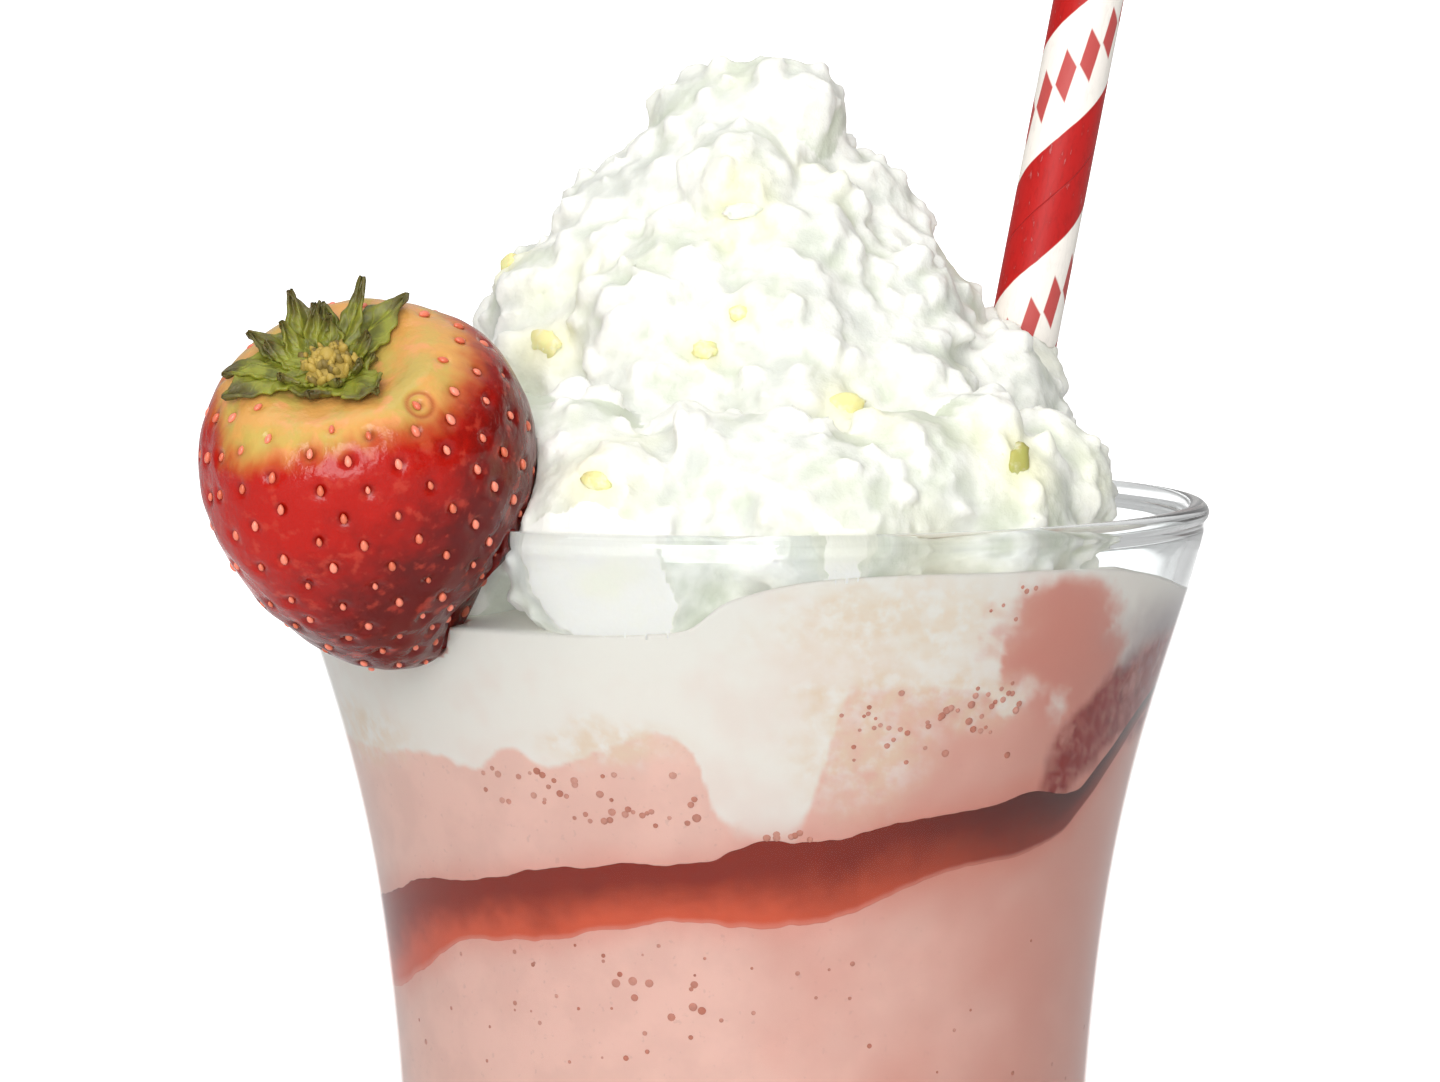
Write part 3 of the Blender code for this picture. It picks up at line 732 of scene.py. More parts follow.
def drink_rows():
    """Shares of the way along the drink's outline: top rows, wall heights under the level, and floor rows."""
    top = np.linspace(0.03, 1.0, 26)[:-1]
    upper = np.linspace(0.0, 0.5, 150)[:-1]
    lower = np.linspace(0.5, 1.0, 44)
    floor = np.linspace(1.0, 0.02, 14)[1:]
    return top, np.concatenate([upper, lower]), floor


def drink_points():
    turn = full_turn(384, -math.pi)
    top, wall, floor = drink_rows()
    edge = drink_level(RIM_RADIUS, turn)
    edge_radius = inner_radius(edge) + INTO_WALL
    top_radius = top[:, None] * edge_radius
    top_z = drink_level(top_radius / edge_radius * RIM_RADIUS, turn)
    foot = FLOOR + FLOOR_CORNER
    wall_z = edge + (foot - edge) * wall[:, None]
    wall_radius = inner_radius(wall_z) + INTO_WALL
    angle = floor * math.pi / 2
    floor_radius = (float(inner_radius(foot)) + INTO_WALL) * np.sin(angle)
    floor_z = FLOOR - INTO_WALL + FLOOR_CORNER * (1 - np.cos(angle))
    shape = (len(floor), len(turn))
    radius = np.vstack([top_radius, wall_radius, np.broadcast_to(floor_radius[:, None], shape)])
    height = np.vstack([top_z, wall_z, np.broadcast_to(floor_z[:, None], shape)])
    return radius, np.broadcast_to(turn, radius.shape), height


def patches(table, degrees, depth):
    """How strongly soft round patches on the wall cover each place, from 0 to 1."""
    cover = np.zeros(degrees.shape)
    for turn, low, half_turn, half_depth, softness in table:
        away = np.hypot((degrees - turn) / half_turn, (depth - low) / half_depth)
        cover = np.maximum(cover, step(1 + softness, 1 - softness, away))
    return cover


def drink_layers(points, turn, height):
    """How much melted cream, froth, grey painted shade and syrup shows at each point."""
    degrees = np.degrees(turn)
    depth = RIM - height
    sway = wobble(points, 260.0, 3, 3.0)
    fine = wobble(points, 900.0, 2, 8.0)
    edge = smooth_through(PINK_EDGE, degrees) + 0.0006 * sway + 0.0003 * fine
    softness = 0.0010 + 0.0016 * step(-98, -88, degrees) * step(-62, -76, degrees)
    melted = step(softness, -softness, depth - edge)
    near, low = degrees + 3.0 * sway + 1.2 * fine, depth + 0.0009 * sway
    pink = patches(PINK_PATCHES, near, low) * (1 - 0.45 * patches(MELTED_PATCHES, near, low))
    melted = np.maximum(melted * (1 - 0.95 * pink), patches(MELTED_PATCHES, near, low) * 0.40)
    froth = np.clip(patches(FROTH_PATCHES, near, low) * (0.75 + 0.5 * fine + 0.4 * sway), 0, 1)
    top_edge, low_edge = syrup_edges(degrees)
    away = np.abs(depth - (top_edge + low_edge) / 2) - (low_edge - top_edge) / 2
    stain = step(0.0030, -0.0010, away + 0.0006 * sway) * syrup_reach(degrees)
    smear = step(0.0060, 0.0036, np.abs(depth - smooth_through(SMEAR_PATH, degrees)) + 0.0010 * sway)
    smear = smear * step(-42.5, -38.5, degrees + 1.5 * sway) * step(16, 2, degrees) * (0.92 + 0.4 * fine)
    # Painted shade on the drink's right side under the rim, kept off the melted cream.
    grey = patches(SHADE_PATCHES, near, low) * (1 - patches(MELTED_PATCHES, near, low))
    smear = np.clip(smear, 0, 1)
    return {"melted": melted, "froth": froth, "stain": stain, "smear": smear, "grey": grey, "pink": pink}


def syrup_turn(degrees):
    """The turn along the syrup, which starts past the right side and runs left round the front."""
    return np.where(degrees > 60, degrees - 360, degrees)


def syrup_edges(degrees):
    along = syrup_turn(degrees)
    return smooth_through(SYRUP_TOP, along), smooth_through(SYRUP_LOW, along)


def syrup_reach(degrees):
    along = syrup_turn(degrees)
    return step(-249, -240, along) * step(6, -2, along)


def drink_finish(settings):
    finish = Finish("drink_finish", Roughness=0.5, Specular_IOR_Level=0.0)
    cloud = finish.grain(160.0, 4.0)
    speck = finish.grain(1300.0, 2.0).above(0.64, 0.74)
    pink = finish.blend(settings.pink, toned(settings.pink, 1.06, 0.01), cloud.above(0.4, 0.65))
    pink = finish.blend(pink, toned(settings.pink, 0.72), speck * 0.30)
    # Painted shade: the drink turns deep pink towards its right side (+x), where it lies in shade.
    away = finish.axes()[0] * 22.0 + (finish.grain(90.0, 2.0) - 0.5)
    pink = finish.blend(pink, settings.deep_pink, away.above(-0.15, 0.75))
    pink = finish.blend(pink, toned(settings.deep_pink, (0.92, 0.76, 0.74)), finish.layer("pink"))
    froth_tone = finish.blend(settings.froth, settings.melted, finish.grain(500.0, 3.0).above(0.40, 0.70))
    melted = finish.layer("melted") + (finish.grain(420.0, 3.0) - 0.5) * 0.30
    ghost = mixed(settings.melted, settings.pink, 0.2)
    milky = finish.blend(settings.melted, ghost, finish.grain(95.0, 3.0).above(0.45, 0.70))
    colour = finish.blend(pink, milky, melted.above(0.2, 0.8))
    colour = finish.blend(colour, froth_tone, finish.layer("froth") * 0.8)
    # Painted shade: the grey patches go from melted cream at the top to grey, then darker mauve lower down.
    low = finish.axes()[2].above(RIM - 0.0062, RIM - 0.0115)
    mauve = toned(settings.shade_film, (0.82, 0.62, 0.66))
    mauve = finish.blend(settings.shade_film, mauve, finish.axes()[2].above(RIM - 0.0105, RIM - 0.0145))
    painted_shade = finish.blend(settings.melted, mauve, low)
    colour = finish.blend(colour, painted_shade, finish.layer("grey"))
    colour = finish.blend(colour, settings.syrup_light, finish.layer("stain") * 0.30)
    islands = finish.grain(230.0, 4.0).above(0.50, 0.66) * 0.45
    dark = finish.blend(settings.smear, settings.deep_pink, islands)
    thick = finish.grain(190.0, 3.0).above(0.52, 0.66) * 0.6
    dark = finish.blend(dark, toned(settings.smear, 0.5), thick)
    colour = finish.blend(colour, dark, finish.layer("smear"))
    return finish.feed(Base_Color=colour)


class MILKSHAKE_OT_drink(bpy.types.Operator):
    """Fill the glass with the drink and set bubbles against its wall"""

    bl_idname = "milkshake.drink"
    bl_label = "Drink"

    def execute(self, context):
        settings = context.scene.milkshake_drink
        radius, turn, height = drink_points()
        points = polar(radius, turn, height)
        layers = drink_layers(points, turn, height)
        drink = new_object("strawberry_drink", lathe_mesh(points, layers=layers), drink_finish(settings))
        carve(drink, [berry_room(), straw_room()])
        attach(drink, "root")
        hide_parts("milkshake")
        self.add_bubbles(settings)
        return {"FINISHED"}

    def add_bubbles(self, settings):
        draw = random.Random(5)
        verts, faces = ball_shape(2)
        parts = []
        for low, high, shallow, deep, count, least, most in BUBBLE_CLUSTERS:
            for _ in range(count):
                turn = math.radians(draw.uniform(low, high))
                z = RIM - draw.uniform(shallow, deep)
                size = draw.uniform(least, most)
                radius = float(inner_radius(z)) + INTO_WALL
                centre = Vector((radius * math.cos(turn), radius * math.sin(turn), z))
                out = Matrix.Rotation(turn, 3, "Z") @ Matrix.Diagonal((0.45, 1.0, 1.0))
                shape = [centre + out @ v * size for v in verts]
                parts.append((shape, faces, {"tone": draw.random()}))
        finish = Finish("bubble_finish", Roughness=0.4, Specular_IOR_Level=0.0)
        tone = finish.layer("tone") + (finish.grain(2500.0) - 0.5) * 0.4
        colour = finish.blend(settings.bubble, mixed(settings.bubble, settings.pink, 0.45), tone)
        bubbles = new_object("wall_bubbles", scattered_mesh(parts), finish.feed(Base_Color=colour))
        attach(bubbles, "root")


# Syrup


def syrup_points(columns=28, rows=420):
    """The ribbon as rings across its length, from its right end round the front to its left end."""
    along = np.linspace(0.003, 0.997, rows)[:, None]
    degrees = 2 + (-245 - 2) * along
    section = full_turn(columns)
    swell = np.sin(math.pi * along) ** 0.3
    top, low = smooth_through(SYRUP_TOP, degrees), smooth_through(SYRUP_LOW, degrees)
    flat = polar(RIM_RADIUS, np.radians(degrees), RIM - (top + low) / 2)
    uneven = wobble(flat, 240.0, 3, 21.0)
    half = (low - top) / 2 * swell * (1 + 0.10 * uneven)
    z = RIM - (top + low) / 2 + half * np.sin(section)
    inward = np.maximum(np.cos(section), 0.0) ** 0.6
    reach = (SYRUP_DEPTH * swell + SYRUP_INTO_WALL) * inward
    radius = inner_radius(z) + SYRUP_INTO_WALL - reach
    across = np.broadcast_to((1 - np.sin(section)) / 2, z.shape)
    return polar(radius, np.radians(degrees), z), across, np.broadcast_to(along, z.shape)


def syrup_finish(settings):
    finish = Finish("syrup_finish", Roughness=0.4, Specular_IOR_Level=0.0)
    across = finish.layer("across")
    along = finish.layer("along")
    drift = (finish.grain(130.0, 3.0) - 0.5) * 0.75 + (finish.grain(600.0, 3.0) - 0.5) * 0.25
    thin = (across + drift).above(0.18, 0.95)
    right_end = (0.36 - along).above(0.0, 0.22)
    left_end = (along - 0.52).above(0.0, 0.25)
    lightness = thin * (1 - right_end * 0.65) + left_end * 0.12
    colour = finish.blend(settings.syrup_dark, settings.syrup_light, lightness)
    colour = finish.blend(colour, toned(settings.syrup_dark, 0.30), right_end * (1 - across * 0.6))
    edge = abs(across - 0.5).above(0.40, 0.5)
    halo = mixed(settings.syrup_light, settings.pink, 0.5)
    colour = finish.blend(colour, halo, edge * (across > 0.5) * 0.6)
    return finish.feed(Base_Color=colour)


class MILKSHAKE_OT_syrup(bpy.types.Operator):
    """Run the ribbon of strawberry syrup round the inside of the wall"""

    bl_idname = "milkshake.syrup"
    bl_label = "Syrup"

    def execute(self, context):
        points, across, along = syrup_points()
        mesh = lathe_mesh(points, layers={"across": across, "along": along})
        syrup = new_object("syrup_ribbon", mesh, syrup_finish(context.scene.milkshake_drink))
        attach(syrup, "root")
        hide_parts("strawberry_syrup")
        return {"FINISHED"}


# Whipped cream


def cream_spoonfuls():
    """Every spoonful as a centre over the rim's centre and a radius."""
    draw = random.Random(CREAM_SEED)
    found = [((0.0, 0.0, height), radius) for height, radius in CREAM_CORE]
    found += list(CREAM_SPOONS + CREAM_FILLS)
    for height, middle, reach, count, size in CREAM_TIERS:
        start = draw.uniform(0, 2 * math.pi)
        for i in range(count):
            turn = start + 2 * math.pi * (i + draw.uniform(-0.22, 0.22)) / count
            radius = size * draw.uniform(0.82, 1.16)
            out = reach - radius + draw.uniform(-0.0010, 0.0010)
            z = height + draw.uniform(-0.0018, 0.0018)
            found.append(((middle + out * math.cos(turn), out * math.sin(turn), z), radius))
    return found


def heap_reach(directions, centres, radii, blend):
    """How far a heap of balls reaches from its centre along unit directions, with its creases softened."""
    reach = np.zeros(len(directions))
    for start in range(0, len(directions), 4000):
        part = directions[start : start + 4000]
        along = part @ centres.T
        inside = along**2 - (centres**2).sum(axis=1) + radii**2
        reaches = np.where(inside > 0, along + np.sqrt(np.maximum(inside, 0.0)), 0.0)
        most = reaches.max(axis=1)
        soft = np.log(np.exp(blend * (reaches - most[:, None])).sum(axis=1)) / blend
        reach[start : start + 4000] = most + soft
    return reach


def cream_room():
    """The space over the drink and inside the wall that the cream may fill, a hair into both."""
    turn = full_turn(256, -math.pi)
    mouth = RIM_RADIUS - 2 * LIP_RADIUS + INTO_WALL
    over = RIM + CREAM_OVER_LIP
    edge = drink_level(RIM_RADIUS, turn) - 2 * INTO_WALL
    lip = RIM - LIP_DEPTH
    wall_z = lip + (edge - lip) * np.linspace(0.0, 1.0, 12)[:, None]
    share = np.linspace(1.0, 0.03, 20)[1:, None]
    floor_z = drink_level(RIM_RADIUS * share, turn) - 2 * INTO_WALL
    floor_radius = (inner_radius(edge) + INTO_WALL) * share
    flat = np.ones_like(turn)
    outside = 0.06 * flat
    radius = np.vstack([outside, outside, mouth * flat, inner_radius(wall_z) + INTO_WALL, floor_radius])
    height = np.vstack([RIM + outside, over * flat, over * flat, wall_z, floor_z])
    return new_object("cream_room", lathe_mesh(polar(radius, turn, height)))


def cream_start():
    return np.array([0.0, 0.0, RIM + CREAM_CENTRE])


def spoonful_arrays():
    spoons = cream_spoonfuls()
    centres = np.array([centre for centre, _ in spoons]) - np.array([0.0, 0.0, CREAM_CENTRE])
    return centres, np.array([radius for _, radius in spoons])


def cream_reach(directions):
    """How far the cream reaches from its centre along unit directions, a little higher at its peak."""
    peak = CREAM_PEAK * step(0.90, 1.0, directions[:, 2])
    return heap_reach(directions, *spoonful_arrays(), CREAM_BLEND) + peak


def cream_heap_points():
    """The heap of spoonfuls as rings of points, a little inside its true size to leave room for the curds."""
    falls = np.linspace(0.008, 0.992, CREAM_ROWS) * math.pi
    turn, fall = np.meshgrid(full_turn(CREAM_COLUMNS, -math.pi), falls)
    directions = polar(np.sin(fall), turn, np.cos(fall))
    reach = cream_reach(directions.reshape(-1, 3)) - CREAM_SHRINK
    return cream_start() + directions * reach.reshape(turn.shape)[..., None]


def add_curds(heap, usual):
    """Lays rough curds of many sizes on the heap and melts them into it."""
    draw = np.random.default_rng(CREAM_SEED)
    spread = np.arange(CURDS) + 0.5
    z = 1 - 1.5 * spread / CURDS
    turn = spread * math.pi * (3 - math.sqrt(5)) + draw.uniform(-0.3, 0.3, CURDS)
    directions = polar(np.sqrt(1 - z**2), turn, z)
    sizes = usual * (0.45 + 1.05 * draw.random(CURDS) ** 2)
    reach = cream_reach(directions) - sizes * draw.uniform(0.68, 1.08, CURDS)
    verts, faces = ball_shape(2)
    bm = bmesh.new()
    bm.from_mesh(heap.data)
    for direction, size, out in zip(directions, sizes, reach):
        spin = Matrix.Rotation(draw.uniform(0, 6.3), 3, Vector(draw.normal(size=3)))
        shape = spin @ Matrix.Diagonal(draw.uniform(0.62, 1.25, 3))
        seat = Vector(cream_start() + direction * out)
        rough = [1 + 0.45 * noise.noise(v * 1.6 + seat * 700) for v in verts]
        placed = [bm.verts.new(seat + shape @ v * (size * r)) for v, r in zip(verts, rough)]
        for face in faces:
            bm.faces.new([placed[i] for i in face])
    bm.to_mesh(heap.data)
    bm.free()
    melt = heap.modifiers.new("Melt together", "REMESH")
    melt.mode = "VOXEL"
    melt.voxel_size = CREAM_VOXEL
    melt.use_smooth_shade = True
    soften = heap.modifiers.new("Soften", "SMOOTH")
    soften.factor = 0.5
    soften.iterations = 7
    applied(heap)


def roughen_cream(mesh):
    """Gives the cream its fine crags, and marks how deep each point lies and how near a crumb."""
    count = len(mesh.vertices)
    points, normals = np.empty(count * 3), np.empty(count * 3)
    mesh.vertices.foreach_get("co", points)
    mesh.vertices.foreach_get("normal", normals)
    points, normals = points.reshape(-1, 3), normals.reshape(-1, 3)
    lumps = wobble(points, 170.0, 2, 1.0)
    crags = np.array([noise.ridged_multi_fractal(Vector(p) * 330.0, 0.9, 2.1, 3, 1.0, 2.0) for p in points])
    fine = wobble(points, 1300.0, 2, 4.0)
    rise = CREAM_LUMP * lumps + CREAM_CRAG * (crags - 1.1) + CREAM_FINE * fine
    points = points + normals * rise[:, None]
    away = points - cream_start()
    reach = np.linalg.norm(away, axis=1)
    directions = away / reach[:, None]
    # How deep each point sits in a crease, which the cream's finish uses to paint shade.
    crest = np.clip((reach - cream_reach(directions)) / 0.0010, -2.0, 1.0) + 0.4 * (crags - 1.1)
    tint = np.zeros(count)
    for turn, rise_degrees, length, width, _ in CRUMBS:
        near = 1 - directions @ crumb_direction(turn, rise_degrees)
        spread = 1.1 * (length + width) / 0.036
        tint = np.maximum(tint, np.exp(-near / (0.5 * spread**2)))
    mesh.vertices.foreach_set("co", points.reshape(-1))
    set_layers(mesh, {"crest": crest, "tint": tint})


def crumb_direction(turn, rise):
    turn, rise = math.radians(turn), math.radians(rise)
    return np.array([math.cos(rise) * math.cos(turn), math.cos(rise) * math.sin(turn), math.sin(rise)])


def cream_finish(settings):
    # The faint emission is painted light on the cream under the rim.
    finish = Finish(
        "cream_finish", Roughness=0.5, Subsurface_Weight=0.2, Subsurface_Scale=0.003, Emission_Strength=0.10
    )
    finish.shader.inputs["Subsurface Radius"].default_value = (1.0, 0.95, 0.8)
    # Painted shade: the cream greys, partly greenish, deep in its creases.
    depth = finish.layer("crest") + (finish.grain(900.0) - 0.5) * 0.6
    greenish = toned(settings.shade, (0.97, 1.0, 0.90))
    shade = finish.blend(settings.shade, greenish, finish.grain(120.0, 2.0).above(0.42, 0.60))
    # Painted light: under the rim the cream gets a brighter base and glows, making up for light the glass
    # holds back.
    over = finish.axes()[2].above(RIM - 0.003, RIM + 0.001)
    whole = finish.blend(settings.milky, settings.cream, over)
    colour = finish.blend(shade, whole, depth.above(-1.6, 0.2))
    warm = finish.grain(75.0, 2.0).above(0.52, 0.70) * 0.5
    colour = finish.blend(colour, linear(238, 239, 216), warm)
    colour = finish.blend(colour, linear(246, 243, 190), finish.layer("tint") * 0.6)
    lit = finish.blend(settings.milky, (0.0, 0.0, 0.0), over)
    bumps = finish.bumps(finish.grain(2600.0, 3.0), 0.25, 0.0003)
    return finish.feed(Base_Color=colour, Emission_Color=lit, Normal=bumps)


class MILKSHAKE_OT_cream(bpy.types.Operator):
    """Heap the whipped cream on the drink and scatter the nut crumbs on it"""

    bl_idname = "milkshake.cream"
    bl_label = "Whipped cream"

    def execute(self, context):
        settings = context.scene.milkshake_cream
        cream = new_object("cream_heap", lathe_mesh(cream_heap_points()))
        add_curds(cream, settings.curd)
        roughen_cream(cream.data)
        cream.data.materials.append(cream_finish(settings))
        carve(cream, [cream_room()], "INTERSECT")
        carve(cream, [berry_room(), straw_room()])
        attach(cream, "root")
        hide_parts("whipped_cream")
        self.add_crumbs(settings, cream.data)
        return {"FINISHED"}

    def add_crumbs(self, settings, cream):
        draw = random.Random(8)
        verts, faces = ball_shape(3)
        corners = [v.co for v in cream.vertices]
        skin = BVHTree.FromPolygons(corners, [tuple(p.vertices) for p in cream.polygons])
        parts = []
        for turn, rise, length, width, green in CRUMBS:
            out = Vector(crumb_direction(turn, rise))
            far = Vector(cream_start()) + out * 0.08
            seat = skin.ray_cast(far, -out)[0] - out * 0.0001
            spin = Matrix.Rotation(draw.uniform(-0.4, 0.4), 3, "Z")
            frame_out = out.to_track_quat("Z", "Y").to_matrix() @ spin
            stretch = Matrix.Diagonal((length, width, CRUMB_THICKNESS))
            shape = []
            for v in verts:
                rough = 1 + 0.28 * noise.fractal(v * 1.7 + seat * 900, 1.0, 2.0, 3)
                shape.append(seat + frame_out @ stretch @ (v * rough))
            parts.append((shape, faces, {"green": green}))
        finish = Finish("crumb_finish", Roughness=0.55, Subsurface_Weight=0.2, Subsurface_Scale=0.002)
        green = finish.layer("green") + (finish.grain(1200.0) - 0.5) * 0.5
        colour = finish.blend(settings.crumb, settings.crumb_green, green.above(0.2, 1.0))
        cover = finish.grain(800.0).above(0.45, 0.75) * 0.6 + green.above(-0.2, -0.7) * 0.8
        covered = finish.feed(Base_Color=finish.blend(colour, settings.cream, cover))
        crumbs = new_object("nut_crumbs", scattered_mesh(parts), covered)
        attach(crumbs, "root")


# Strawberry


def berry_frame():
    nod = Matrix.Rotation(math.radians(BERRY_NOD), 4, "X")
    lean = Matrix.Rotation(math.radians(BERRY_LEAN), 4, "Y")
    return Matrix.Translation(BERRY_CENTRE) @ lean @ nod


def berry_uneven(turn):
    return 1.0 + sum(size * np.sin(waves * turn + phase) for waves, size, phase in BERRY_UNEVEN)


def berry_points(turn, fall, grow=0.0):
    """Points of the strawberry's skin in its own frame, with its stem end up."""
    turn, fall = np.broadcast_arrays(turn, fall)
    sideways = (turn - PINCH_TURN + math.pi) % (2 * math.pi) - math.pi
    pinch = PINCH_DEPTH * np.exp(-((sideways / 0.62) ** 2) - ((fall - PINCH_FALL) / 0.12) ** 2)
    radius = np.maximum(smooth_through(BERRY_OUTLINE, fall) * berry_uneven(turn) - pinch + grow, 0.0)
    height = smooth_through(BERRY_OUTLINE, fall, 2)
    bend = (np.minimum(height, 0.0) / BERRY_OUTLINE[-1][2]) ** 2
    height = height * (1 + grow / BERRY_OUTLINE[4][1])
    bent = np.stack([BERRY_BEND[0] * bend, BERRY_BEND[1] * bend, np.zeros_like(bend)], axis=-1)
    return polar(radius, turn, height) + bent


def berry_normals(turn, fall):
    small = 0.01
    across = berry_points(turn + small, fall) - berry_points(turn - small, fall)
    lower, upper = np.minimum(fall + small, 1.0), np.maximum(fall - small, 0.0)
    down = berry_points(turn, lower) - berry_points(turn, upper)
    normal = np.cross(down, across)
    return normal / np.linalg.norm(normal, axis=-1, keepdims=True)


def berry_room():
    """A slightly larger strawberry that leaves room for it in the drink and cream."""
    fall = np.linspace(0.01, 0.99, 60)[:, None]
    made = new_object("berry_room", lathe_mesh(berry_points(full_turn(96), fall, BERRY_GAP)))
    made.data.transform(berry_frame())
    return made


def wall_room():
    """The glass's wall and lip with a little play, which the strawberry is slotted over."""
    outside = np.linspace(RIM - LIP_DEPTH, RIM - SLOT_REACH, 30)
    lip_r, lip_z = lip_arc()
    centre_r, centre_z = RIM_RADIUS - LIP_RADIUS, RIM - LIP_RADIUS
    widen = (LIP_RADIUS + SLOT_PLAY) / LIP_RADIUS
    radius = [inner_radius(outside[::-1]) - SLOT_PLAY, centre_r + (lip_r - centre_r) * widen]
    radius.append(outer_radius(outside) + SLOT_PLAY)
    height = [outside[::-1], centre_z + (lip_z - centre_z) * widen, outside]
    radius, height = np.concatenate(radius), np.concatenate(height)
    points = polar(radius[:, None], full_turn(160), height[:, None])
    return new_object("wall_room", lathe_mesh(points, wrap_rows=True))


def seed_places():
    """Turn and fall of each seed, spread evenly by the golden angle with a little play."""
    draw = np.random.default_rng(4)
    k = np.arange(BERRY_SEEDS) + 0.5
    start = math.cos(math.pi * SEED_FROM)
    fall = np.arccos(start - (start + 0.985) * k / BERRY_SEEDS) / math.pi
    turn = k * math.pi * (3 - math.sqrt(5)) + draw.uniform(-0.06, 0.06, BERRY_SEEDS)
    return turn % (2 * math.pi), fall + draw.uniform(-0.006, 0.006, BERRY_SEEDS)


def berry_layers(points, turn, fall, seeds):
    """How pale and how deep in a seed's pit each point is, and its place in the strawberry's frame."""
    degrees = (np.degrees(turn) + 180) % 360 - 180
    streaks = wobble(np.stack([np.cos(turn), np.sin(turn), fall * 1.5], axis=-1), 9.0, 4, 2.0)
    blotches = wobble(points, 330.0, 3, 6.0)
    reach = fall + 0.018 * streaks + 0.010 * blotches
    pale_end, red_start = smooth_through(SHOULDER_ENDS, degrees), smooth_through(SHOULDER_ENDS, degrees, 2)
    middle = (pale_end + red_start) / 2
    deepest = np.zeros(points.shape[:2])
    for seed in seeds:
        away = np.linalg.norm(points - seed, axis=-1)
        deepest = np.maximum(deepest, np.exp(-((away / (0.62 * PIT_RADIUS)) ** 2)))
    pale = step(middle + 0.010, pale_end - 0.035, reach)
    away = np.linalg.norm(points - berry_points(math.radians(SCAR[0]), SCAR[1]), axis=-1) / SCAR[2]
    ring = np.exp(-(((away - 1) / 0.22) ** 2)) + np.exp(-((away / 0.35) ** 2))
    pale = pale * (1 - 0.75 * ring)
    deepest = np.maximum(deepest, 0.5 * ring)
    orange = step(red_start + 0.020, pale_end, reach)
    return {"pale": pale, "orange": orange, "pit": deepest, "side": points[..., 0], "height": points[..., 2]}


def berry_mesh():
    fall = np.linspace(0.004, 0.996, BERRY_ROWS)[:, None]
    turn, fall = np.broadcast_arrays(full_turn(BERRY_COLUMNS), fall)
    points = berry_points(turn, fall)
    layers = berry_layers(points, turn, fall, berry_points(*seed_places()))
    swell = wobble(points, 150.0, 2, 5.0) * BERRY_SWELL
    points = points + berry_normals(turn, fall) * (swell - PIT_DEPTH * layers["pit"])[..., None]
    return lathe_mesh(points, layers=layers)


def berry_finish(settings):
    inner_glow = {"Subsurface_Weight": 0.05, "Subsurface_Scale": 0.002}
    finish = Finish("strawberry_finish", Specular_IOR_Level=0.27, **inner_glow)
    finish.shader.inputs["Subsurface Radius"].default_value = (1.0, 0.25, 0.15)
    mottle = (finish.grain(140.0, 4.0) - 0.5) * 0.9 + (finish.grain(520.0, 3.0) - 0.5) * 0.7
    # Painted shade: the skin turns deep red towards the bottom and the right side (+x); the mottle in it is
    # the skin's own.
    depth = mottle - finish.layer("height") * 58.0 + finish.layer("side") * 42.0
    colour = finish.blend(settings.red, settings.deep, depth.above(-0.62, 0.38))
    fresh = mixed(settings.red, linear(240, 130, 100), 0.20)
    colour = finish.blend(colour, fresh, finish.grain(620.0, 3.0).above(0.54, 0.72) * 0.55)
    colour = finish.blend(colour, mixed(settings.red, settings.shoulder, 0.38), finish.layer("orange"))
    blush = mixed(settings.shoulder, linear(232, 150, 112), 0.45)
    green = toned(settings.shoulder, (0.80, 1.12, 1.00))
    shoulder = finish.blend(settings.shoulder, green, finish.grain(230.0, 4.0).above(0.42, 0.62))
    streaks = finish.grain(310.0, 4.0, distortion=0.4).above(0.54, 0.66)
    shoulder = finish.blend(shoulder, blush, streaks * 0.8)
    colour = finish.blend(colour, shoulder, finish.layer("pale"))
    # Painted shade: the skin darkens in the seeds' pits; at the scar this also gives its own brown centre.
    dimple = finish.layer("pit").above(0.15, 0.75) * (1 - finish.layer("pale")) * 0.5
    colour = finish.blend(colour, settings.deep, dimple)
    rough = finish.grain(900.0, 2.0) * 0.14 + 0.15
    bumps = finish.bumps(finish.grain(800.0), 0.35, 0.0004)
    return finish.feed(Base_Color=colour, Roughness=rough, Normal=bumps)


def seed_shapes():
    """Each seed as a small teardrop seated in its pit, in the strawberry's frame."""
    turn, fall = seed_places()
    seats = berry_points(turn, fall)
    normals = berry_normals(turn, fall)
    upward = berry_points(turn, fall - 0.01) - berry_points(turn, fall + 0.01)
    verts, faces = ball_shape(2)
    draw = random.Random(3)
    for seat, normal, up in zip(seats, normals, upward):
        out = Vector(normal)
        along = (Vector(up) - out * Vector(up).dot(out)).normalized()
        side = along.cross(out)
        axes = Matrix((side, along, out)).transposed()
        size = draw.uniform(0.58, 1.0)
        shape = []
        for v in verts:
            taper = 1 - 0.35 * max(v.y, 0.0)
            local = Vector((v.x * SEED_SIZE[0] * taper, v.y * SEED_SIZE[1], v.z * SEED_SIZE[2])) * size
            shape.append(Vector(seat) + axes @ local - out * (PIT_DEPTH - SEED_RISE))
        yield shape, faces, {"tone": draw.random()}


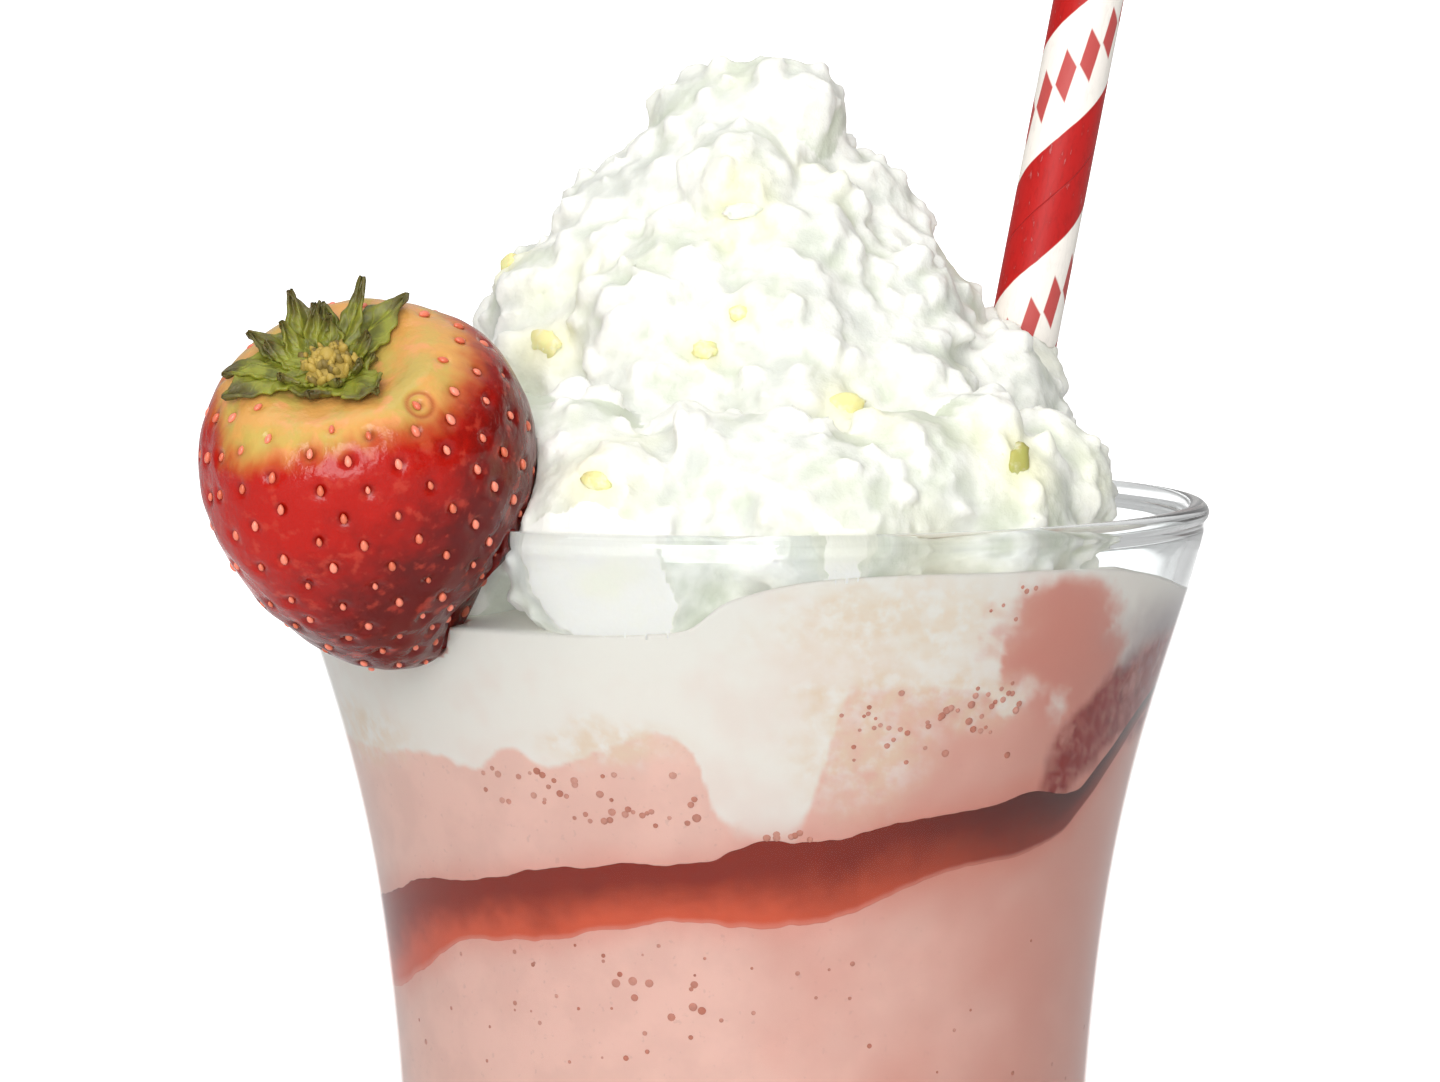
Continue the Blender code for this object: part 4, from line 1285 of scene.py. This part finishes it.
class MILKSHAKE_OT_strawberry(bpy.types.Operator):
    """Model the strawberry with its seeds and slot it over the rim"""

    bl_idname = "milkshake.strawberry"
    bl_label = "Strawberry"

    def execute(self, context):
        settings = context.scene.milkshake_berry
        berry = new_object("strawberry_fruit", berry_mesh(), berry_finish(settings))
        berry.data.transform(berry_frame())
        carve(berry, [wall_room()])
        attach(berry, "root")
        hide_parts("strawberry")
        finish = Finish("seed_finish", Roughness=0.3)
        tone = finish.layer("tone") + (finish.grain(3000.0) - 0.5) * 0.5
        colour = finish.blend(settings.seed, toned(settings.seed, 1.30, 0.10), tone)
        seeds = new_object("strawberry_seeds", scattered_mesh(seed_shapes()), finish.feed(Base_Color=colour))
        seeds.data.transform(berry_frame())
        carve(seeds, [wall_room()])
        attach(seeds, "root")
        return {"FINISHED"}


def over_skin(x, y, rise):
    """Points a given rise over the strawberry's upper skin, where x and y lie in its own frame."""
    turn = np.arctan2(y, x)
    falls = np.linspace(0.0, BERRY_OUTLINE[4][0], 400)
    fall = np.interp(np.hypot(x, y) / berry_uneven(turn), smooth_through(BERRY_OUTLINE, falls), falls)
    return berry_points(turn, fall) + berry_normals(turn, fall) * np.asarray(rise)[..., None]


def leaf_mesh(index, degrees, length, half_width, lift):
    """One leaf with a folded midrib and toothed edges, following the shoulder and then lifting off it."""
    rows, columns = np.linspace(0, 1, LEAF_ALONG + 1), np.linspace(-1, 1, LEAF_ACROSS + 1)
    along, across = np.meshgrid(rows, columns, indexing="ij")
    turn = math.radians(degrees)
    out = LEAF_START + length * along
    teeth = 1 + 0.10 * np.sin(along * 34 + index * 2.0) * step(0.2, 0.5, along)
    width = half_width * (0.42 + 0.95 * along) * (1 - along**2.2) * teeth + 0.00008
    bend = 0.0006 * math.sin(index * 2.4) * along**2
    x = CALYX_MIDDLE[0] + out * math.cos(turn) - (across * width + bend) * math.sin(turn)
    y = CALYX_MIDDLE[1] + out * math.sin(turn) + (across * width + bend) * math.cos(turn)
    wave = LEAF_WAVE * (1 + np.sin(9 * along + 5 * across + index)) * along
    fold = 0.00035 * (np.abs(across) - 0.35) * (1 - along)
    ribs = 0.00006 * np.cos(22 * along - 9 * np.abs(across))
    rise = LEAF_GAP + LEAF_ROOT * (1 - along) ** 3 + lift * along**2.4 + wave + fold + ribs
    points = over_skin(x, y, rise)
    wide = LEAF_ACROSS + 1
    corners = [row * wide + column for row in range(LEAF_ALONG) for column in range(LEAF_ACROSS)]
    faces = [(corner, corner + 1, corner + wide + 1, corner + wide) for corner in corners]
    return points.reshape(-1, 3), faces, along.reshape(-1), across.reshape(-1)


def calyx_mesh():
    """All the leaves as one sheet, which a Solidify modifier then thickens."""
    verts, faces, along, across = [], [], [], []
    for index, row in enumerate(LEAVES + INNER_LEAVES):
        points, leaf_faces, leaf_along, leaf_across = leaf_mesh(index, *row)
        base = len(verts)
        verts += points.tolist()
        faces += [tuple(base + i for i in face) for face in leaf_faces]
        along += leaf_along.tolist()
        across += leaf_across.tolist()
    return smooth_mesh(verts, faces, {"along": along, "across": across})


def leaf_finish(settings):
    finish = Finish("leaf_finish", Roughness=0.5, Subsurface_Weight=0.1, Subsurface_Scale=0.001)
    along, across = finish.layer("along"), finish.layer("across")
    side = abs(across)
    vein = (along * 26.0 - side * 9.0).sine().above(0.75, 1.0)
    rib = side.above(0.14, 0.04)
    dry = (along + (finish.grain(500.0, 4.0) - 0.5) * 0.9).above(0.62, 1.0)
    dark = toned(settings.leaf, 0.34)
    colour = finish.blend(settings.leaf, dark, finish.grain(350.0, 4.0).above(0.45, 0.65) * 0.8)
    colour = finish.blend(colour, toned(settings.leaf, 1.3), (vein * 0.35 + rib * 0.5).above(0.0, 1.0))
    colour = finish.blend(colour, linear(74, 62, 34), dry * 0.8)
    height = vein * 0.3 + rib * 0.6 + finish.grain(1500.0) * 0.4
    return finish.feed(Base_Color=colour, Normal=finish.bumps(height, 0.4, 0.0002))


def hub_shapes():
    """The dry bits in the middle of the leaves, and the broken stalk."""
    draw = random.Random(12)
    verts, faces = ball_shape(2)
    middle = Vector(over_skin(*CALYX_MIDDLE, LEAF_GAP + HUB_HEIGHT))
    bits = [(middle - Vector((0, 0, 0.0002)), Matrix.Diagonal((HUB_RADIUS, HUB_RADIUS, HUB_HEIGHT)), 0.5)]
    bits.append((middle + Vector((0.0002, 0.0001, 0.0008)), Matrix.Diagonal((0.0009, 0.0009, 0.0012)), 0.8))
    for _ in range(64):
        turn, reach = draw.uniform(0, 2 * math.pi), HUB_RADIUS * draw.uniform(0.15, 1.08)
        rise = 0.0008 - 0.35 * (reach - 0.0010)
        spot = middle + Vector((reach * math.cos(turn), reach * math.sin(turn), rise))
        tilt = Matrix.Rotation(draw.uniform(-0.7, 0.7), 3, "X")
        tilt = tilt @ Matrix.Rotation(draw.uniform(-0.7, 0.7), 3, "Y")
        size = Matrix.Diagonal((draw.uniform(0.00025, 0.00050), draw.uniform(0.00025, 0.00050), 0.0008))
        bits.append((spot, tilt @ size, draw.random()))
    for spot, shape_of, tone in bits:
        yield [spot + shape_of @ v for v in verts], faces, {"tone": tone}


class MILKSHAKE_OT_calyx(bpy.types.Operator):
    """Lay the leaves and their dry middle on the strawberry"""

    bl_idname = "milkshake.calyx"
    bl_label = "Leaves"

    def execute(self, context):
        settings = context.scene.milkshake_berry
        leaves = new_object("calyx_leaves", calyx_mesh(), leaf_finish(settings))
        leaves.data.transform(berry_frame())
        thick = leaves.modifiers.new("Thickness", "SOLIDIFY")
        thick.thickness = LEAF_THICKNESS
        thick.offset = 1.0
        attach(leaves, "root")
        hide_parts("calyx")
        finish = Finish("calyx_middle_finish", Roughness=0.6)
        tone = finish.layer("tone") + (finish.grain(1800.0) - 0.5) * 0.6
        colour = finish.blend(toned(settings.hub, 0.35), settings.hub, tone.above(0.05, 0.7))
        hub = new_object("calyx_middle", scattered_mesh(hub_shapes()), finish.feed(Base_Color=colour))
        hub.data.transform(berry_frame())
        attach(hub, "root")
        return {"FINISHED"}


# Straw


def straw_frame():
    lean = Matrix.Rotation(math.radians(STRAW_LEAN), 4, "Y")
    return Matrix.Translation(STRAW_FOOT) @ lean


def straw_room():
    """The room that the straw takes up in the drink and cream."""
    z = np.linspace(-0.002, STRAW_LENGTH, 8)[:, None]
    made = new_object("straw_room", lathe_mesh(polar(STRAW_RADIUS + STRAW_GAP, full_turn(64), z)))
    made.data.transform(straw_frame())
    return made


def straw_finish(settings):
    finish = Finish("straw_finish", Roughness=0.5, Specular_IOR_Level=0.3)
    x, y, z = finish.axes()
    turn = x.math("ARCTAN2", y, x) * (0.5 / math.pi)
    wander = (finish.grain(350.0, 2.0) - 0.5) * 0.012
    phase = (z * (1 / STRIPE_LEAD) - turn + STRIPE_START + wander).fraction()
    fibre = finish.node("ShaderNodeCombineXYZ", None, {0: x, 1: y, 2: z * 0.3})
    fleck = finish.grain(2600.0, 3.0, place=fibre)
    red = finish.blend(settings.red, toned(settings.red, 0.70), fleck.above(0.45, 0.7) * 0.6)
    red = finish.blend(red, toned(settings.red, 0.6, 0.25), fleck.above(0.64, 0.72) * 0.35)
    white = finish.blend(settings.white, toned(settings.white, 0.88), fleck.above(0.5, 0.7) * 0.6)
    middle = (1 + STRIPE_RED) / 2
    along_band = abs((turn * 9.0 + z * 60.0).fraction() - 0.5)
    diamonds = (abs(phase - middle) * 3.9 + along_band * 1.05).above(0.50, 0.43)
    white = finish.blend(white, settings.red, diamonds * 0.92)
    in_red = phase.above(0.0, 0.008) * phase.above(STRIPE_RED + 0.008, STRIPE_RED)
    colour = finish.blend(white, red, in_red)
    seam = abs(phase - STRIPE_RED * 0.5).above(0.006, 0.0)
    colour = finish.blend(colour, toned(settings.red, 0.45), seam * 0.6)
    height = fleck * 0.25 - seam
    return finish.feed(Base_Color=colour, Normal=finish.bumps(height, 0.35, 0.0002))


class MILKSHAKE_OT_straw(bpy.types.Operator):
    """Roll the striped paper straw"""

    bl_idname = "milkshake.straw"
    bl_label = "Straw"

    def execute(self, context):
        ease = 0.00008
        outer_z = np.linspace(ease, STRAW_LENGTH - ease, 90)
        inner = STRAW_RADIUS - STRAW_WALL
        radius = [[STRAW_RADIUS - ease], np.full(90, STRAW_RADIUS), [STRAW_RADIUS - ease, inner + ease]]
        radius += [np.full(90, inner), [inner + ease]]
        height = [[0.0], outer_z, [STRAW_LENGTH, STRAW_LENGTH], outer_z[::-1], [0.0]]
        radius, height = np.concatenate(radius)[:, None], np.concatenate(height)[:, None]
        mesh = lathe_mesh(polar(radius, full_turn(96), height), wrap_rows=True)
        straw = new_object("paper_straw", mesh, straw_finish(context.scene.milkshake_straw))
        straw.matrix_world = straw_frame()
        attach(straw, "root")
        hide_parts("straw")
        return {"FINISHED"}


# Stage


def area_light(name, spot, size, power):
    lamp = bpy.data.lights.new(name, "AREA")
    lamp.shape = "RECTANGLE"
    lamp.size = lamp.size_y = size
    lamp.energy = power
    made = new_object(name, lamp)
    made.location = spot
    made.rotation_euler = (Vector(LIGHTS_AIM) - Vector(spot)).to_track_quat("-Z", "Y").to_euler()


class MILKSHAKE_OT_stage(bpy.types.Operator):
    """Lay the pale floor and set the lights and camera"""

    bl_idname = "milkshake.stage"
    bl_label = "Stage"

    def execute(self, context):
        scene = context.scene
        self.add_floor(scene.milkshake_stage.floor)
        self.add_sky(scene)
        for light in LIGHTS:
            area_light(*light)
        self.add_camera(scene)
        scene.view_settings.view_transform = "Standard"
        return {"FINISHED"}

    def add_floor(self, colour):
        bm = bmesh.new()
        bmesh.ops.create_grid(bm, x_segments=8, y_segments=8, size=14.0)
        mesh = bpy.data.meshes.new("floor")
        bm.to_mesh(mesh)
        bm.free()
        finish = Finish("floor_finish", Roughness=0.8, Specular_IOR_Level=0.0, Emission_Strength=1.0)
        tone = finish.blend(colour, toned(colour, 0.985), finish.grain(3.0, 2.0))
        x, y, _ = finish.axes()
        across = 0.12 + 0.085 * (y + 1.0) - abs(x)
        white = across.above(-0.02, 0.06) * y.above(0.35, 0.65)
        glow = finish.blend((0.0, 0.0, 0.0), (1.0, 1.0, 1.0), white)
        floor = new_object("floor", mesh, finish.feed(Base_Color=tone, Emission_Color=glow))
        floor.location.z = FLOOR_DROP

    def add_sky(self, scene):
        """A studio that is bright above and darker at the sides."""
        world = bpy.data.worlds.new("studio")
        world.use_nodes = True
        sky = Nodes(world.node_tree)
        x, y, z = sky.split(sky.node("ShaderNodeTexCoord"))
        overhead = z.above(0.25, 0.80)
        beside = abs(x).above(0.30, 0.80)
        low = 0.46 + y.above(0.30, 0.90) * 0.10 - beside * 0.34 - y.above(-0.90, -0.98) * 0.36
        light = overhead * 0.85 + (1 - overhead) * low
        shade = world.node_tree.nodes["Background"]
        shade.inputs["Color"].default_value = (1.0, 1.0, 1.0, 1.0)
        world.node_tree.links.new(light.socket, shade.inputs["Strength"])
        scene.world = world

    def add_camera(self, scene):
        rise = math.radians(CAMERA_RISE)
        look = Vector((0.0, math.cos(rise), -math.sin(rise)))
        up = Vector((0.0, math.sin(rise), math.cos(rise)))
        aim = Vector((AIM[0], 0.0, RIM)) + up * AIM[1]
        lens = bpy.data.cameras.new("camera")
        lens.sensor_width = 36.0
        lens.lens = 36.0 * CAMERA_DISTANCE / FRAME_WIDTH
        camera = new_object("camera", lens)
        camera.location = aim - look * CAMERA_DISTANCE
        camera.rotation_euler = look.to_track_quat("-Z", "Y").to_euler()
        scene.camera = camera


OPERATORS = (
    MILKSHAKE_OT_glass,
    MILKSHAKE_OT_drink,
    MILKSHAKE_OT_syrup,
    MILKSHAKE_OT_cream,
    MILKSHAKE_OT_strawberry,
    MILKSHAKE_OT_calyx,
    MILKSHAKE_OT_straw,
    MILKSHAKE_OT_stage,
)
SETTINGS = {
    "milkshake_glass": MilkshakeGlassSettings,
    "milkshake_drink": MilkshakeDrinkSettings,
    "milkshake_cream": MilkshakeCreamSettings,
    "milkshake_berry": MilkshakeBerrySettings,
    "milkshake_straw": MilkshakeStrawSettings,
    "milkshake_stage": MilkshakeStageSettings,
}


class MILKSHAKE_PT_panel(bpy.types.Panel):
    """Lists the milkshake's pieces and their settings"""

    bl_idname = "MILKSHAKE_PT_panel"
    bl_label = "Strawberry Milkshake"
    bl_space_type = "VIEW_3D"
    bl_region_type = "UI"
    bl_category = "Milkshake"

    def draw(self, context):
        for operator in OPERATORS:
            self.layout.operator(operator.bl_idname)
        for name, group in SETTINGS.items():
            box = self.layout.box()
            for setting in group.__annotations__:
                box.prop(getattr(context.scene, name), setting)


def register():
    for group in SETTINGS.values():
        bpy.utils.register_class(group)
    for operator in OPERATORS:
        bpy.utils.register_class(operator)
    bpy.utils.register_class(MILKSHAKE_PT_panel)
    for name, group in SETTINGS.items():
        setattr(bpy.types.Scene, name, bpy.props.PointerProperty(type=group))


def unregister():
    for name in SETTINGS:
        delattr(bpy.types.Scene, name)
    bpy.utils.unregister_class(MILKSHAKE_PT_panel)
    for operator in reversed(OPERATORS):
        bpy.utils.unregister_class(operator)
    for group in reversed(list(SETTINGS.values())):
        bpy.utils.unregister_class(group)


def main():
    register()
    for operator in OPERATORS:
        family, name = operator.bl_idname.split(".")
        getattr(getattr(bpy.ops, family), name)()


if __name__ == "__main__":
    main()
